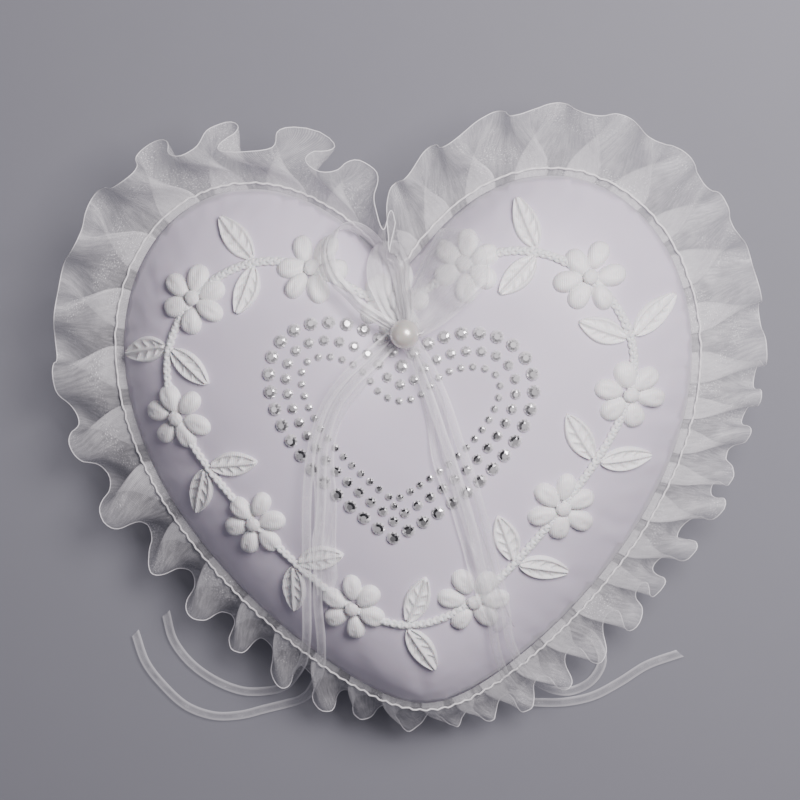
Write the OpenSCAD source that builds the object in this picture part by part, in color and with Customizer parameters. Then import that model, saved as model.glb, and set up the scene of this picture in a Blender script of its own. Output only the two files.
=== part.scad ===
// Ring bearer pillow: a stuffed satin heart with a gathered sheer ruffle, a padded flower vine,
// three rows of crystals, and a bow with a pearl, two wide tails and four narrow ring ties.
// It lies on its back: +Z out of the face, +Y towards the lobes, origin at the middle of the rest face.

/* [Pillow] */
// Width of the stuffed heart across its lobes
body_w = 200; // [190:1:210]
// Height of the edge seam above the table
seam_z = 30; // [28:1:32]
// Height of the face's crown above the seam
face_rise = 34; // [32:1:36]
// Thickness of each satin panel with its lining
satin_t = 0.8; // [0.5:0.1:1.2]

/* [Ruffle] */
// Width of the ruffle from the seam to its hem
ruffle_w = 24; // [20:1:26]
// Number of folds round the heart
ruffle_folds = 36; // [30:1:40]
// Height of a fold at the hem, above and below its middle
ruffle_wave = 6; // [3:0.5:6]
// How far the ruffle stands up from the table's direction at the lobes, in degrees
ruffle_stand = 22; // [0:1:30]
// Droop of the ruffle at the heart's tip, in degrees
ruffle_droop = 54; // [30:1:56]
// Thickness of the gathered layers
ruffle_t = 1.8; // [1.2:0.1:2]

/* [Vine] */
// Radius of a flower from its middle to a petal's tip
flower_r = 12; // [8:0.5:13]
// Number of petals on a flower
petals = 6; // [5:1:7]
// Height of the padded petals
petal_h = 2.8; // [1.5:0.1:3]
// Length of a leaf
leaf_len = 18; // [14:0.5:19]
// Width of a leaf
leaf_w = 8.5; // [5:0.5:9]
// Width of the braided stem
stem_w = 3; // [2:0.5:4]

/* [Crystals] */
// Diameter of the outer row's stones
outer_d = 4.6; // [4:0.1:5]
// Diameter of the middle row's stones
middle_d = 3.6; // [3:0.1:4]
// Diameter of the inner row's stones
inner_d = 2.6; // [2:0.1:3]
// Distance between neighbouring rows
row_gap = 6; // [5.5:0.1:6.5]

/* [Bow] */
// Diameter of the pearl
pearl_d = 10; // [8:0.5:11]
// Width of the wide tails as they lie gathered
tail_w = 10; // [8:1:14]
// Width of the narrow ties
tie_w = 3.2; // [2.6:0.1:4]

/* [Hidden] */
SEGMENTS = 60;
RINGS = 8;
NUDGE = 0.05;

// Each heart curve is three sine terms across and five cosine terms along, for half a body width.
PILLOW = [[0.845, -0.073, -0.150], [0.093, 0.916, -0.289, -0.135, -0.018]];
VINE = [[0.737, -0.086, -0.060], [0.165, 0.582, -0.212, -0.025, -0.041]];
CRYSTALS = [[0.355, -0.004, -0.100], [0.098, 0.356, -0.124, -0.060, 0]];

SATIN = "white";
SHEER = "lavender";
TRIM = "snow";
IVORY = "ivory";

// The bow is sewn a little to the right of the middle line, below the notch.
KNOT = [5.3, 39];
KNOT_R = 4;
KNOT_H = 4;
TAIL_T = 1;
// The crystal heart is set a little askew, clockwise.
CRYSTAL_TURN = 6;

// Along the vine, from the flower under the bow and round by the left lobe.
FIRST_STEP = 31.2;
VINE_STEP = 45.1;
LEAF_STEP = 20;
LEAF_SPLAY = 58;

// Middle lines of the ties: over the face, down across the ruffle and along the table.
LEFT_OUTER_ROUTE = [[1, 36, 61], [-5, 30, 64], [-13, 23, 66.5], [-20, 14, 67], [-25, 0, 67],
    [-27, -18, 65.5], [-30, -38, 62], [-32, -55, 57], [-33, -71, 49.5], [-36, -84, 38],
    [-42, -95, 24], [-48, -102, 10], [-55, -106, 1.6], [-64, -108, 1.6], [-73, -110, 1.6],
    [-83, -110, 1.6], [-93, -106, 1.6], [-101, -98, 1.6], [-107, -89, 1.6], [-110, -78, 1.6]];
LEFT_INNER_ROUTE = [[0, 38, 61], [-8, 32, 65], [-17, 24, 68], [-24, 14, 68.5], [-29, 0, 68],
    [-32, -18, 66], [-34, -38, 62], [-36, -55, 56.5], [-38, -69, 49.5], [-42, -81, 37],
    [-48, -90, 24], [-54, -97, 10], [-61, -101, 1.6], [-71, -101, 1.6], [-81, -97, 1.6],
    [-90, -90, 1.6], [-96, -81, 1.6], [-98, -71, 1.6]];
RIGHT_OUTER_ROUTE = [[5, 35, 61], [9, 27, 64.5], [13, 16, 67], [17, 2, 67.5], [21, -13, 66.5],
    [24, -27, 65], [26, -42, 62], [28, -58, 56.5], [28, -74, 48.5], [29, -87, 37],
    [31, -97, 23], [33, -105, 9], [38, -108, 1.6], [47, -108, 1.6], [57, -106, 1.6],
    [67, -101, 1.6], [77, -95, 1.6], [89, -91, 1.6]];
RIGHT_INNER_ROUTE = [[7, 37, 61], [13, 28, 65.5], [18, 16, 68], [22, 2, 68.5], [26, -13, 67.5],
    [29, -27, 65.5], [31, -42, 62], [33, -58, 56], [33, -72, 48.5], [35, -84, 37],
    [38, -94, 23], [42, -101, 9], [49, -104, 1.6], [57, -100, 1.6], [61, -92, 1.6],
    [57, -83, 1.6], [48, -79, 1.6]];

// Middle lines of the wide tails, in the plan of the face.
LEFT_TAIL = [[1.5, 34.5], [-8, 27], [-18, 17], [-23, 6], [-25, -8], [-26, -24], [-27, -40], [-28, -52]];
RIGHT_TAIL = [[8, 33], [12, 20], [15, 5], [18, -10], [21, -26], [25, -42], [28, -58], [30, -68]];

// Bow loops: direction from the knot, length, spread, height of the ribbon, and gap under it.
LEFT_LOOP = [126, 41, 13, 8, 1];
LEFT_SMALL_LOOP = [109, 31, 8, 7, 1];
RIGHT_LOOP = [52, 40, 18, 7, 1];

// ---- Curves ----

function unit(v) = v / norm(v);

function curve(c, t) = body_w / 2 * [
    c[0][0] * sin(t) + c[0][1] * sin(2 * t) + c[0][2] * sin(3 * t),
    c[1][0] + c[1][1] * cos(t) + c[1][2] * cos(2 * t) + c[1][3] * cos(3 * t) + c[1][4] * cos(4 * t)];

function heading(c, t) = unit(curve(c, t + 1) - curve(c, t - 1));

// The side of a clockwise curve that faces away from the heart.
function outward(c, t) = let(h = heading(c, t)) [-h.y, h.x];

// Length along a curve against its parameter, from the notch and right round.
function run(c, step = 3, t = 0, sum = 0) = t > 360 ? [] :
    concat([[sum, t]], run(c, step, t + step, sum + norm(curve(c, t + step) - curve(c, t))));
function at_length(table, s) =
    let(whole = table[len(table) - 1][0], wrapped = s - whole * floor(s / whole))
    lookup(wrapped, table);

SEAM_RUN = run(PILLOW);
VINE_RUN = run(VINE);
SEAM_LEN = SEAM_RUN[len(SEAM_RUN) - 1][0];

// Distance from the origin to the seam against the angle from the notch, for the right half.
REACH = [for (t = [0:3:180]) let(p = curve(PILLOW, t)) [atan2(p.x, p.y), norm(p)]];
function reach(p) = lookup(atan2(abs(p.x), p.y), REACH);

// Section of the stuffed face from its middle, 0, to the seam, 1.
CROWN_FLAT = 2.4;
CROWN_ROUND = 0.6;
function crown(s) = s >= 1 ? 0 : pow(1 - pow(s, CROWN_FLAT), CROWN_ROUND);
function face_z(p) = seam_z + face_rise * crown(norm(p) / reach(p));
function on_face(p, h) = [p.x, p.y, face_z([p.x, p.y]) + h];

// ---- Closed meshes ----

function quad(a, b, c, d) = [[a, b, c], [a, c, d]];
function cat(lists) = [for (l = lists) for (v = l) v];

// Grid of rows that close on themselves; shut joins the last row to the first as well.
function tube_faces(rows, n, shut) = cat([for (i = [0:rows - (shut ? 1 : 2)]) for (j = [0:n - 1])
    let(a = i * n, b = ((i + 1) % rows) * n, k = (j + 1) % n) quad(a + j, a + k, b + k, b + j)]);

module sweep(rows, shut = false) {
    n = len(rows[0]);
    last = (len(rows) - 1) * n;
    ends = shut ? [] : [[for (j = [n - 1:-1:0]) j], [for (j = [0:n - 1]) last + j]];
    polyhedron(cat(rows), concat(tube_faces(len(rows), n, shut), ends), convexity = 10);
}

// Round tube along a list of points.
function tube_rows(path, r, sides) = [for (i = [0:len(path) - 1])
    let(a = path[max(i - 1, 0)], b = path[min(i + 1, len(path) - 1)], d = unit(b - a),
        side = unit(cross(d, [0, 0, 1])), up = cross(side, d))
    [for (j = [0:sides - 1]) path[i] + r * (side * sin(360 * j / sides) - up * cos(360 * j / sides))]];

// The same for a path in an upright plane along X.
function strand_rows(path, r, sides) = [for (i = [0:len(path) - 1])
    let(a = path[max(i - 1, 0)], b = path[min(i + 1, len(path) - 1)], up = cross(unit(b - a), [0, 1, 0]))
    [for (j = [0:sides - 1])
        path[i] + r * (up * sin(360 * j / sides) + [0, 1, 0] * cos(360 * j / sides))]];

// Two stacked domes, each a middle point and rings of n points, joined round their last rings.
function fan(first, n) = [for (j = [0:n - 1]) [first, first + 1 + (j + 1) % n, first + 1 + j]];
function rings(first, n, count) = cat([for (i = [0:count - 2]) for (j = [0:n - 1])
    let(a = first + 1 + i * n, b = a + n, k = (j + 1) % n) quad(a + j, a + k, b + k, b + j)]);
function turned(faces) = [for (f = faces) [f[2], f[1], f[0]]];
function dome_faces(first, n, count) = concat(fan(first, n), rings(first, n, count));
function lens_faces(n, top, bottom, first = 0) =
    let(low = first + 1 + top * n, rim_a = first + 1 + (top - 1) * n, rim_b = low + 1 + (bottom - 1) * n)
    concat(dome_faces(first, n, top), turned(dome_faces(low, n, bottom)),
        cat([for (j = [0:n - 1]) let(k = (j + 1) % n) quad(rim_a + j, rim_a + k, rim_b + k, rim_b + j)]));

// Several equal lenses in one mesh.
module lenses(list, n, top, bottom) {
    size = 2 + (top + bottom) * n;
    polyhedron(cat(list), cat([for (i = [0:len(list) - 1]) lens_faces(n, top, bottom, i * size)]),
        convexity = 10);
}

// ---- Pillow ----

// Surface of the stuffed heart, brought in by inset at the edge; it is flat below the table line.
function skin(inset, rise, lift, table) = concat([[0, 0, max(table, seam_z + lift + rise)]],
    [for (i = [1:RINGS]) for (j = [0:SEGMENTS - 1])
        let(s = sin(90 * i / RINGS), p = curve(PILLOW, at_length(SEAM_RUN, j * SEAM_LEN / SEGMENTS)),
            q = p * s * (1 - inset / norm(p)))
        [q.x, q.y, max(table, seam_z + lift + rise * crown(s))]]);

// The back would be this deep if no table pressed it flat.
BACK_FULLNESS = 1.12;
BACK_DROP = BACK_FULLNESS * seam_z;

module stuffed(top, bottom) lenses([concat(top, bottom)], SEGMENTS, RINGS, RINGS);

module fibre_fill() color(IVORY) stuffed(
    skin(satin_t, face_rise - satin_t, NUDGE, 0),
    skin(satin_t, satin_t - BACK_DROP, -NUDGE, satin_t));

module front_panel() color(SATIN) stuffed(
    skin(0, face_rise, NUDGE, 0), skin(satin_t, face_rise - satin_t, NUDGE, 0));

module back_panel() color(SATIN) stuffed(
    skin(satin_t, satin_t - BACK_DROP, -NUDGE, satin_t), skin(0, -BACK_DROP, -NUDGE, 0));

// Hand stitches that shut the filling gap, on the back beside the seam.
STITCH_COUNT = 13;
STITCH_STEP = 5;
STITCH_START = 190;
module closing_stitches() color(TRIM)
    for (i = [0:STITCH_COUNT - 1]) {
        t = at_length(SEAM_RUN, STITCH_START + i * STITCH_STEP);
        edge = curve(PILLOW, t);
        inner = edge - 3 * outward(PILLOW, t);
        slope = (norm(edge) - norm(inner)) / norm(edge);
        a = [edge.x, edge.y, seam_z - 0.9];
        b = [inner.x, inner.y, seam_z - BACK_DROP * crown(1 - slope) - 0.4];
        sweep(tube_rows([a, b], 0.4, 5));
    }

// ---- Ruffle ----

FOLD_STEPS = 6;
SEAM_GAP = 0.4;
// Wave height at the seam, and the share of the hem's wave that is reached halfway across.
SEAM_WAVE = 0.8;
HALF_WAVE = 0.6;
// Between the seam's own outward side and straight out from the middle, so the notch stays open.
function spread(t) = unit(outward(PILLOW, t) + unit(curve(PILLOW, t)));
// It stands up round the lobes and droops towards the tip, where the ties run over it.
function stand(t) = ruffle_stand - (ruffle_stand + ruffle_droop) * pow(0.5 - 0.5 * cos(t), 3);
function ruffle_point(s, out, wave, h) =
    let(t = at_length(SEAM_RUN, s), p = curve(PILLOW, t) + spread(t) * (SEAM_GAP + out * cos(stand(t))),
        z = seam_z + out * sin(stand(t)) + wave * sin(360 * ruffle_folds * s / SEAM_LEN) + h)
    [p.x, p.y, z];

module ruffle() color(SHEER) {
    count = ruffle_folds * FOLD_STEPS;
    half = ruffle_t / 2;
    middle = ruffle_wave * HALF_WAVE;
    section = [[0, SEAM_WAVE, -half], [0, SEAM_WAVE, half], [ruffle_w / 2, middle, half],
        [ruffle_w, ruffle_wave, half], [ruffle_w, ruffle_wave, -half], [ruffle_w / 2, middle, -half]];
    sweep([for (i = [0:count - 1]) [for (v = section) ruffle_point(i * SEAM_LEN / count, v[0], v[1], v[2])]],
        shut = true);
}

// Cord stitched along the gathers, just outside the seam.
THREAD_R = 0.5;
THREAD_RINGS = 90;
THREAD_OUT = 1.6;
THREAD_LIFT = ruffle_t / 2 + SEAM_WAVE + THREAD_R + 0.3;
module gathering_thread() color(TRIM) {
    path = [for (i = [0:THREAD_RINGS - 1])
        ruffle_point(i * SEAM_LEN / THREAD_RINGS, THREAD_OUT, 0, THREAD_LIFT)];
    loop_rows = tube_rows(concat([path[THREAD_RINGS - 1]], path, [path[0]]), THREAD_R, 6);
    sweep([for (i = [1:THREAD_RINGS]) loop_rows[i]], shut = true);
}

// ---- Vine ----

VINE_LEN = VINE_RUN[len(VINE_RUN) - 1][0];
// The vine is followed from the top towards the left lobe, so lengths count backwards.
function vine_t(s) = at_length(VINE_RUN, VINE_LEN - s);
function flower_s(i) = i == 11 ? 0 : i == 10 ? FIRST_STEP : FIRST_STEP + i * VINE_STEP;
function leaves_s(i) = FIRST_STEP + (i - 1) * VINE_STEP + LEAF_STEP;

STEM_RINGS = 96;
module vine_stem() color(TRIM) {
    half = stem_w / 2;
    section = [[-half, 0.3], [-half / 2, 0.1], [half / 2, 0.1],
        [half, 0.3], [half / 2, 1.6], [-half / 2, 1.6]];
    sweep([for (i = [0:STEM_RINGS - 1]) let(t = vine_t(-i * VINE_LEN / STEM_RINGS), p = curve(VINE, t),
        n = outward(VINE, t)) [for (v = section) on_face(p + n * v[0], v[1])]], shut = true);
}

// Outline of a flower: full at each petal, drawn in between them.
FLOWER_SEGMENTS = 6 * petals;
function petal_reach(a) = flower_r * (0.55 + 0.45 * pow(abs(cos(a * petals / 2)), 0.6));
module flower(i) color(TRIM) {
    p = curve(VINE, vine_t(flower_s(i)));
    // middle button, foot of the petals, puffed petals, outer edge
    rows = [[0.24, petal_h * 0.9], [0.62, petal_h], [1, 0.5]];
    top = concat([on_face(p, petal_h + 0.8)], [for (row = rows) for (j = [0:FLOWER_SEGMENTS - 1])
        let(a = 360 * j / FLOWER_SEGMENTS + 23 * i, r = row[0] * petal_reach(a - 23 * i))
        on_face(p + r * [sin(a), cos(a)], row[1])]);
    bottom = concat([on_face(p, NUDGE)], [for (j = [0:FLOWER_SEGMENTS - 1])
        let(a = 360 * j / FLOWER_SEGMENTS + 23 * i, r = petal_reach(a - 23 * i))
        on_face(p + r * [sin(a), cos(a)], NUDGE)]);
    lenses([concat(top, bottom)], FLOWER_SEGMENTS, 3, 1);
}

// Pointed oval, wide near its root, from the stem outwards.
LEAF_SEGMENTS = 16;
function leaf_point(root, along, share, a, h) =
    let(x = leaf_len / 2 * (1 - share * cos(a)),
        y = share * leaf_w / 2 * sin(a) * (1 - 0.35 * (x / leaf_len)),
        p = root + along * (x + stem_w / 2) + [-along.y, along.x] * y)
    on_face(p, h);
function leaf(root, along) = concat([leaf_point(root, along, 0, 0, 2)],
    [for (row = [[0.55, 1.7], [1, 0.6]]) for (j = [0:LEAF_SEGMENTS - 1])
        leaf_point(root, along, row[0], -360 * j / LEAF_SEGMENTS, row[1])],
    [leaf_point(root, along, 0, 0, NUDGE)],
    [for (j = [0:LEAF_SEGMENTS - 1]) leaf_point(root, along, 1, -360 * j / LEAF_SEGMENTS, NUDGE)]);

module leaves(i) color(TRIM) {
    t = vine_t(leaves_s(i));
    forward = -heading(VINE, t);
    left = [-forward.y, forward.x];
    lenses([for (side = [-1, 1])
        leaf(curve(VINE, t), forward * cos(LEAF_SPLAY) + side * left * sin(LEAF_SPLAY))],
        LEAF_SEGMENTS, 2, 1);
}

// ---- Crystals ----

STONE_SIDES = 8;
// Faceted stone: girdle on the satin, flat table on top.
function stone(p, d) = concat([on_face(p, 0.42 * d)],
    [for (row = [[0.24, 0.42], [0.5, 0.16]]) for (j = [0:STONE_SIDES - 1])
        on_face(p + row[0] * d * [sin(360 * j / STONE_SIDES), cos(360 * j / STONE_SIDES)], row[1] * d)],
    [on_face(p, NUDGE)],
    [for (j = [0:STONE_SIDES - 1])
        on_face(p + 0.5 * d * [sin(360 * j / STONE_SIDES), cos(360 * j / STONE_SIDES)], NUDGE)]);

function askew(x, y) =
    [x * cos(CRYSTAL_TURN) + y * sin(CRYSTAL_TURN), y * cos(CRYSTAL_TURN) - x * sin(CRYSTAL_TURN)];
// A row set in from the outer one, cut off where its two halves would cross on the middle line.
function row_path(inset) = [for (t = [0:2:180]) let(p = curve(CRYSTALS, t) - inset * outward(CRYSTALS, t))
    if (p.x >= -NUDGE) p];
function path_run(path, i = 0, sum = 0) = i >= len(path) ? [] :
    concat([[sum, i]], path_run(path, i + 1, sum + (i + 1 < len(path) ? norm(path[i + 1] - path[i]) : 0)));
function path_point(path, table, s) = let(k = lookup(s, table), i = min(floor(k), len(path) - 2))
    path[i] + (path[i + 1] - path[i]) * (k - i);

module crystal_row(inset, d, pitch) color("aliceblue") {
    path = row_path(inset);
    table = path_run(path);
    half_len = table[len(table) - 1][0];
    steps = round(half_len / pitch);
    stones = [for (side = [1, -1]) for (i = [0:steps]) if (side == 1 || (i > 0 && i < steps))
        let(p = path_point(path, table, i * half_len / steps)) askew(side * p.x, p.y)];
    lenses([for (p = stones) stone(p, d)], STONE_SIDES, 2, 1);
}

// Distance between neighbouring stones for each diameter, and how far in the third row lies for each gap.
OUTER_PITCH = 1.32;
MIDDLE_PITCH = 1.45;
INNER_PITCH = 1.6;
INNER_ROW = 1.9;
module crystals_outer() crystal_row(0, outer_d, outer_d * OUTER_PITCH);
module crystals_middle() crystal_row(row_gap, middle_d, middle_d * MIDDLE_PITCH);
module crystals_inner() crystal_row(row_gap * INNER_ROW, inner_d, inner_d * INNER_PITCH);

// ---- Bow ----

function loop_point(loop, v, side, h) =
    let(dir = [cos(loop[0]), sin(loop[0])], away = [-dir.y, dir.x],
        p = KNOT + dir * (2 + loop[1] * pow(sin(180 * v), 0.8)) + away * (loop[2] / 2 * sin(360 * v) + side))
    on_face(p, loop[4] + h);

LOOP_STEPS = 20;
module bow_loop(loop) color(SHEER) {
    section = [[-0.4, 0], [0.4, 0], [0.4, loop[3]], [-0.4, loop[3]]];
    sweep([for (i = [1:LOOP_STEPS - 1]) [for (v = section)
        loop_point(loop, i / LOOP_STEPS, (i < LOOP_STEPS / 2 ? -1 : 1) * v[0], v[1])]]);
}

KNOT_Z = face_z(KNOT) + NUDGE;
module bow_knot() color(SHEER) translate([KNOT.x, KNOT.y, KNOT_Z]) rotate_extrude($fn = 48)
    polygon([[0.7, 0], [KNOT_R - 1, 0], [KNOT_R, 1],
        [KNOT_R, KNOT_H - 1], [KNOT_R - 1, KNOT_H], [0.7, KNOT_H]]);

PEARL_BORE_R = 0.6;
PEARL_Z = KNOT_Z + KNOT_H + pearl_d / 2 - 0.1;
module pearl() color(IVORY) translate([KNOT.x, KNOT.y, PEARL_Z]) rotate([0, 90, 0]) difference() {
    sphere(d = pearl_d, $fn = 64);
    cylinder(h = pearl_d + 2, r = PEARL_BORE_R, center = true, $fn = 32);
}

// The thread runs crosswise through the pearl and down beside it on both sides into the satin.
THREAD_FOOT = 2.4;
module pearl_thread() color(TRIM) {
    side = pearl_d / 2 + 2 * PEARL_BORE_R - 0.3;
    top = PEARL_Z - KNOT_Z;
    half = [[side, 0, THREAD_FOOT], [side, 0, top - 1.5], [side - 0.4, 0, top - 0.4], [side - 1.4, 0, top]];
    path = concat(half, [for (i = [3:-1:0]) [-half[i].x, 0, half[i].z]]);
    translate([KNOT.x, KNOT.y, KNOT_Z]) sweep(strand_rows(path, PEARL_BORE_R - 0.15, 10));
}

// Flat ribbon lying along a plan route on the face, above the trim that it crosses.
TAIL_GAP = 3.2;
module tail(route) color(SHEER) {
    rows = [for (i = [0:len(route) - 1])
        let(d = unit(route[min(i + 1, len(route) - 1)] - route[max(i - 1, 0)]), n = [-d.y, d.x] * tail_w / 2)
        [on_face(route[i] + n, TAIL_GAP), on_face(route[i] - n, TAIL_GAP),
            on_face(route[i] - n, TAIL_GAP + TAIL_T), on_face(route[i] + n, TAIL_GAP + TAIL_T)]];
    sweep(rows);
}

module tie(route) color(SATIN) sweep(tube_rows(route, tie_w / 2, 8));

fibre_fill();
front_panel();
back_panel();
closing_stitches();
ruffle();
gathering_thread();
vine_stem();
flower(1);  // flower_01
flower(2);  // flower_02
flower(3);  // flower_03
flower(4);  // flower_04
flower(5);  // flower_05
flower(6);  // flower_06
flower(7);  // flower_07
flower(8);  // flower_08
flower(9);  // flower_09
flower(10);  // flower_10
flower(11);  // flower_11
leaves(1);  // leaves_01
leaves(2);  // leaves_02
leaves(3);  // leaves_03
leaves(4);  // leaves_04
leaves(5);  // leaves_05
leaves(6);  // leaves_06
leaves(7);  // leaves_07
leaves(8);  // leaves_08
leaves(9);  // leaves_09
crystals_outer();
crystals_middle();
crystals_inner();
bow_loop(LEFT_LOOP);  // bow_loop_left
bow_loop(LEFT_SMALL_LOOP);  // bow_loop_left_small
bow_loop(RIGHT_LOOP);  // bow_loop_right
bow_knot();
tail(LEFT_TAIL);  // bow_tail_left
tail(RIGHT_TAIL);  // bow_tail_right
pearl();
pearl_thread();
tie(LEFT_OUTER_ROUTE);  // tie_left_outer
tie(LEFT_INNER_ROUTE);  // tie_left_inner
tie(RIGHT_OUTER_ROUTE);  // tie_right_outer
tie(RIGHT_INNER_ROUTE);  // tie_right_inner
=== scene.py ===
import bisect
import math
import random

import bmesh
import bpy
from bpy.props import FloatProperty, FloatVectorProperty, IntProperty, PointerProperty
from mathutils import Matrix, Vector, geometry, noise
from mathutils.bvhtree import BVHTree


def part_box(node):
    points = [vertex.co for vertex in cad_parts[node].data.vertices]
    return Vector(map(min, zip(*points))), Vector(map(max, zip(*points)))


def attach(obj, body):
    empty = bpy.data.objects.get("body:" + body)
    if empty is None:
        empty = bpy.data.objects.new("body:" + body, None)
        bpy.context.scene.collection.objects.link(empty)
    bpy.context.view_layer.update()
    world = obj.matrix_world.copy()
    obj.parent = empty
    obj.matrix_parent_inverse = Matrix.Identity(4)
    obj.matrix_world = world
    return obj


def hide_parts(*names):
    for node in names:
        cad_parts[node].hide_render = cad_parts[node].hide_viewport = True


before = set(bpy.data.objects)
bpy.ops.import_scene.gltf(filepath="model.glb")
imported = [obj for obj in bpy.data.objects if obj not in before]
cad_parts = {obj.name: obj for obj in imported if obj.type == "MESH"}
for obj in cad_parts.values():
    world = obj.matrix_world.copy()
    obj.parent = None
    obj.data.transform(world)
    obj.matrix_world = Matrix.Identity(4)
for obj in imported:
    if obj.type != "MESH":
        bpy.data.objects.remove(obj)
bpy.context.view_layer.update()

bl_info = {
    "name": "Ring Bearer Pillow",
    "version": (1, 0, 0),
    "blender": (4, 5, 0),
    "location": "View3D > Sidebar > Ring Pillow",
    "description": "Dresses the heart-shaped ring pillow: satin, ruffle, vine trim, crystals, bow and ties",
    "category": "Add Mesh",
}

MM = 0.001
FACE_LOW, FACE_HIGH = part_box("front_panel")
KNOT_LOW, KNOT_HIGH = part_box("bow_knot")
HALF_WIDTH = (FACE_HIGH.x - FACE_LOW.x) / 2
SEAM_Z = FACE_LOW.z
CROWN = FACE_HIGH.z - FACE_LOW.z
KNOT = Vector(((KNOT_LOW.x + KNOT_HIGH.x) / 2, (KNOT_LOW.y + KNOT_HIGH.y) / 2))

# Each heart curve is three sine terms across and five cosine terms along, for half the heart's width.
PILLOW = ((0.845, -0.073, -0.150), (0.093, 0.916, -0.289, -0.135, -0.018))
VINE = ((0.737, -0.086, -0.060), (0.165, 0.582, -0.212, -0.025, -0.041))
CRYSTALS = ((0.355, -0.004, -0.100), (0.098, 0.356, -0.124, -0.060, 0))
# The crystal heart is set a little askew, clockwise.
CRYSTAL_TURN = math.radians(6)

# Along the vine, from the flower under the bow and round by the left lobe.
FIRST_STEP = 31.2 * MM
VINE_STEP = 45.1 * MM
LEAF_STEP = 20 * MM
LEAF_SPLAY = 58
# Lengths along the vine by number: nine flowers with their leaf pairs, then the two that it starts with.
FLOWER_STEPS = {**{k: FIRST_STEP + VINE_STEP * k for k in range(1, 10)}, 10: FIRST_STEP, 11: 0}
LEAF_STEPS = {k: FIRST_STEP + VINE_STEP * (k - 1) + LEAF_STEP for k in range(1, 10)}

# Middle lines of the ties, in millimetres, as the frame has them.
TIE_ROUTES = {
    "left_outer": [
        (1, 36, 61), (-5, 30, 64), (-13, 23, 66.5), (-20, 14, 67), (-25, 0, 67), (-27, -18, 65.5),
        (-30, -38, 62), (-32, -55, 57), (-33, -71, 49.5), (-36, -84, 38), (-42, -95, 24), (-48, -102, 10),
        (-55, -106, 1.6), (-64, -108, 1.6), (-73, -110, 1.6), (-83, -110, 1.6), (-93, -106, 1.6),
        (-101, -98, 1.6), (-107, -89, 1.6), (-110, -78, 1.6)],
    "left_inner": [
        (0, 38, 61), (-8, 32, 65), (-17, 24, 68), (-24, 14, 68.5), (-29, 0, 68), (-32, -18, 66),
        (-34, -38, 62), (-36, -55, 56.5), (-38, -69, 49.5), (-42, -81, 37), (-48, -90, 24), (-54, -97, 10),
        (-61, -101, 1.6), (-71, -101, 1.6), (-81, -97, 1.6), (-90, -90, 1.6), (-96, -81, 1.6),
        (-98, -71, 1.6)],
    "right_outer": [
        (5, 35, 61), (9, 27, 64.5), (13, 16, 67), (17, 2, 67.5), (21, -13, 66.5), (24, -27, 65),
        (26, -42, 62), (28, -58, 56.5), (28, -74, 48.5), (29, -87, 37), (31, -97, 23), (33, -105, 9),
        (38, -108, 1.6), (47, -108, 1.6), (57, -106, 1.6), (67, -101, 1.6), (77, -95, 1.6), (89, -91, 1.6)],
    "right_inner": [
        (7, 37, 61), (13, 28, 65.5), (18, 16, 68), (22, 2, 68.5), (26, -13, 67.5), (29, -27, 65.5),
        (31, -42, 62), (33, -58, 56), (33, -72, 48.5), (35, -84, 37), (38, -94, 23), (42, -101, 9),
        (49, -104, 1.6), (57, -100, 1.6), (61, -92, 1.6), (57, -83, 1.6), (48, -79, 1.6)],
}

# Middle lines of the wide tails in the plan of the face, in millimetres.
TAIL_ROUTES = {
    "tail_left": [(1.5, 34.5), (-8, 27), (-18, 17), (-23, 6), (-25, -8), (-26, -24), (-27, -40), (-28, -52)],
    "tail_right": [(8, 33), (12, 20), (15, 5), (18, -10), (21, -26), (25, -42), (28, -58), (30, -68)],
}


# ---- Sizes and colours that a user would change ----

class HeartSettings(bpy.types.PropertyGroup):
    ease: FloatProperty(
        name="Pattern ease", description="How much larger the flat pattern is than the stuffed outline",
        default=1.085, min=1.02, max=1.15)
    cell: FloatProperty(
        name="Cloth cell", description="Distance between neighbouring points of the simulated cloth",
        default=3.0 * MM, min=2 * MM, max=6 * MM, unit="LENGTH")
    pressure: FloatProperty(
        name="Stuffing pressure", description="Pressure of the filling while the satin settles",
        default=6.0, min=1)
    frames: IntProperty(
        name="Settling frames", description="Frames that the satin settles for", default=26, min=5)
    satin: FloatVectorProperty(
        name="Satin", description="Colour of the satin",
        default=(0.70, 0.635, 0.735), size=3, subtype="COLOR")


class RuffleSettings(bpy.types.PropertyGroup):
    width: FloatProperty(
        name="Width", description="From the seam to the hem", default=25 * MM, min=15 * MM, unit="LENGTH")
    fold: FloatProperty(
        name="Fold size", description="How large the folds are, against the ruffle's own",
        default=1, min=0.6, max=2)
    header: FloatProperty(
        name="Header", description="From the seam to the stitched cord", default=3 * MM, unit="LENGTH")
    gather: FloatProperty(
        name="Gather", description="Flat length of organza for each length of seam",
        default=2.0, min=1.3, max=3)
    organza: FloatVectorProperty(
        name="Organza", description="Colour of the sheer yarn",
        default=(0.95, 0.95, 0.96), size=3, subtype="COLOR")


class TrimSettings(bpy.types.PropertyGroup):
    flower_radius: FloatProperty(
        name="Flower radius", description="From the middle to a petal's tip",
        default=12.2 * MM, unit="LENGTH")
    petals: IntProperty(name="Petals", description="Petals on a flower", default=6, min=5, max=7)
    petal_height: FloatProperty(
        name="Petal height", description="Height of the padded petals", default=3.0 * MM, unit="LENGTH")
    leaf_length: FloatProperty(
        name="Leaf length", description="From the stem to the leaf's tip", default=18 * MM, unit="LENGTH")
    leaf_width: FloatProperty(name="Leaf width", description="Across the leaf", default=9 * MM, unit="LENGTH")
    strand: FloatProperty(
        name="Stem strand", description="Radius of one strand of the braid", default=0.75 * MM, unit="LENGTH")
    cloth: FloatVectorProperty(
        name="Trim", description="Colour of the padded satin",
        default=(0.93, 0.925, 0.92), size=3, subtype="COLOR")


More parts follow.
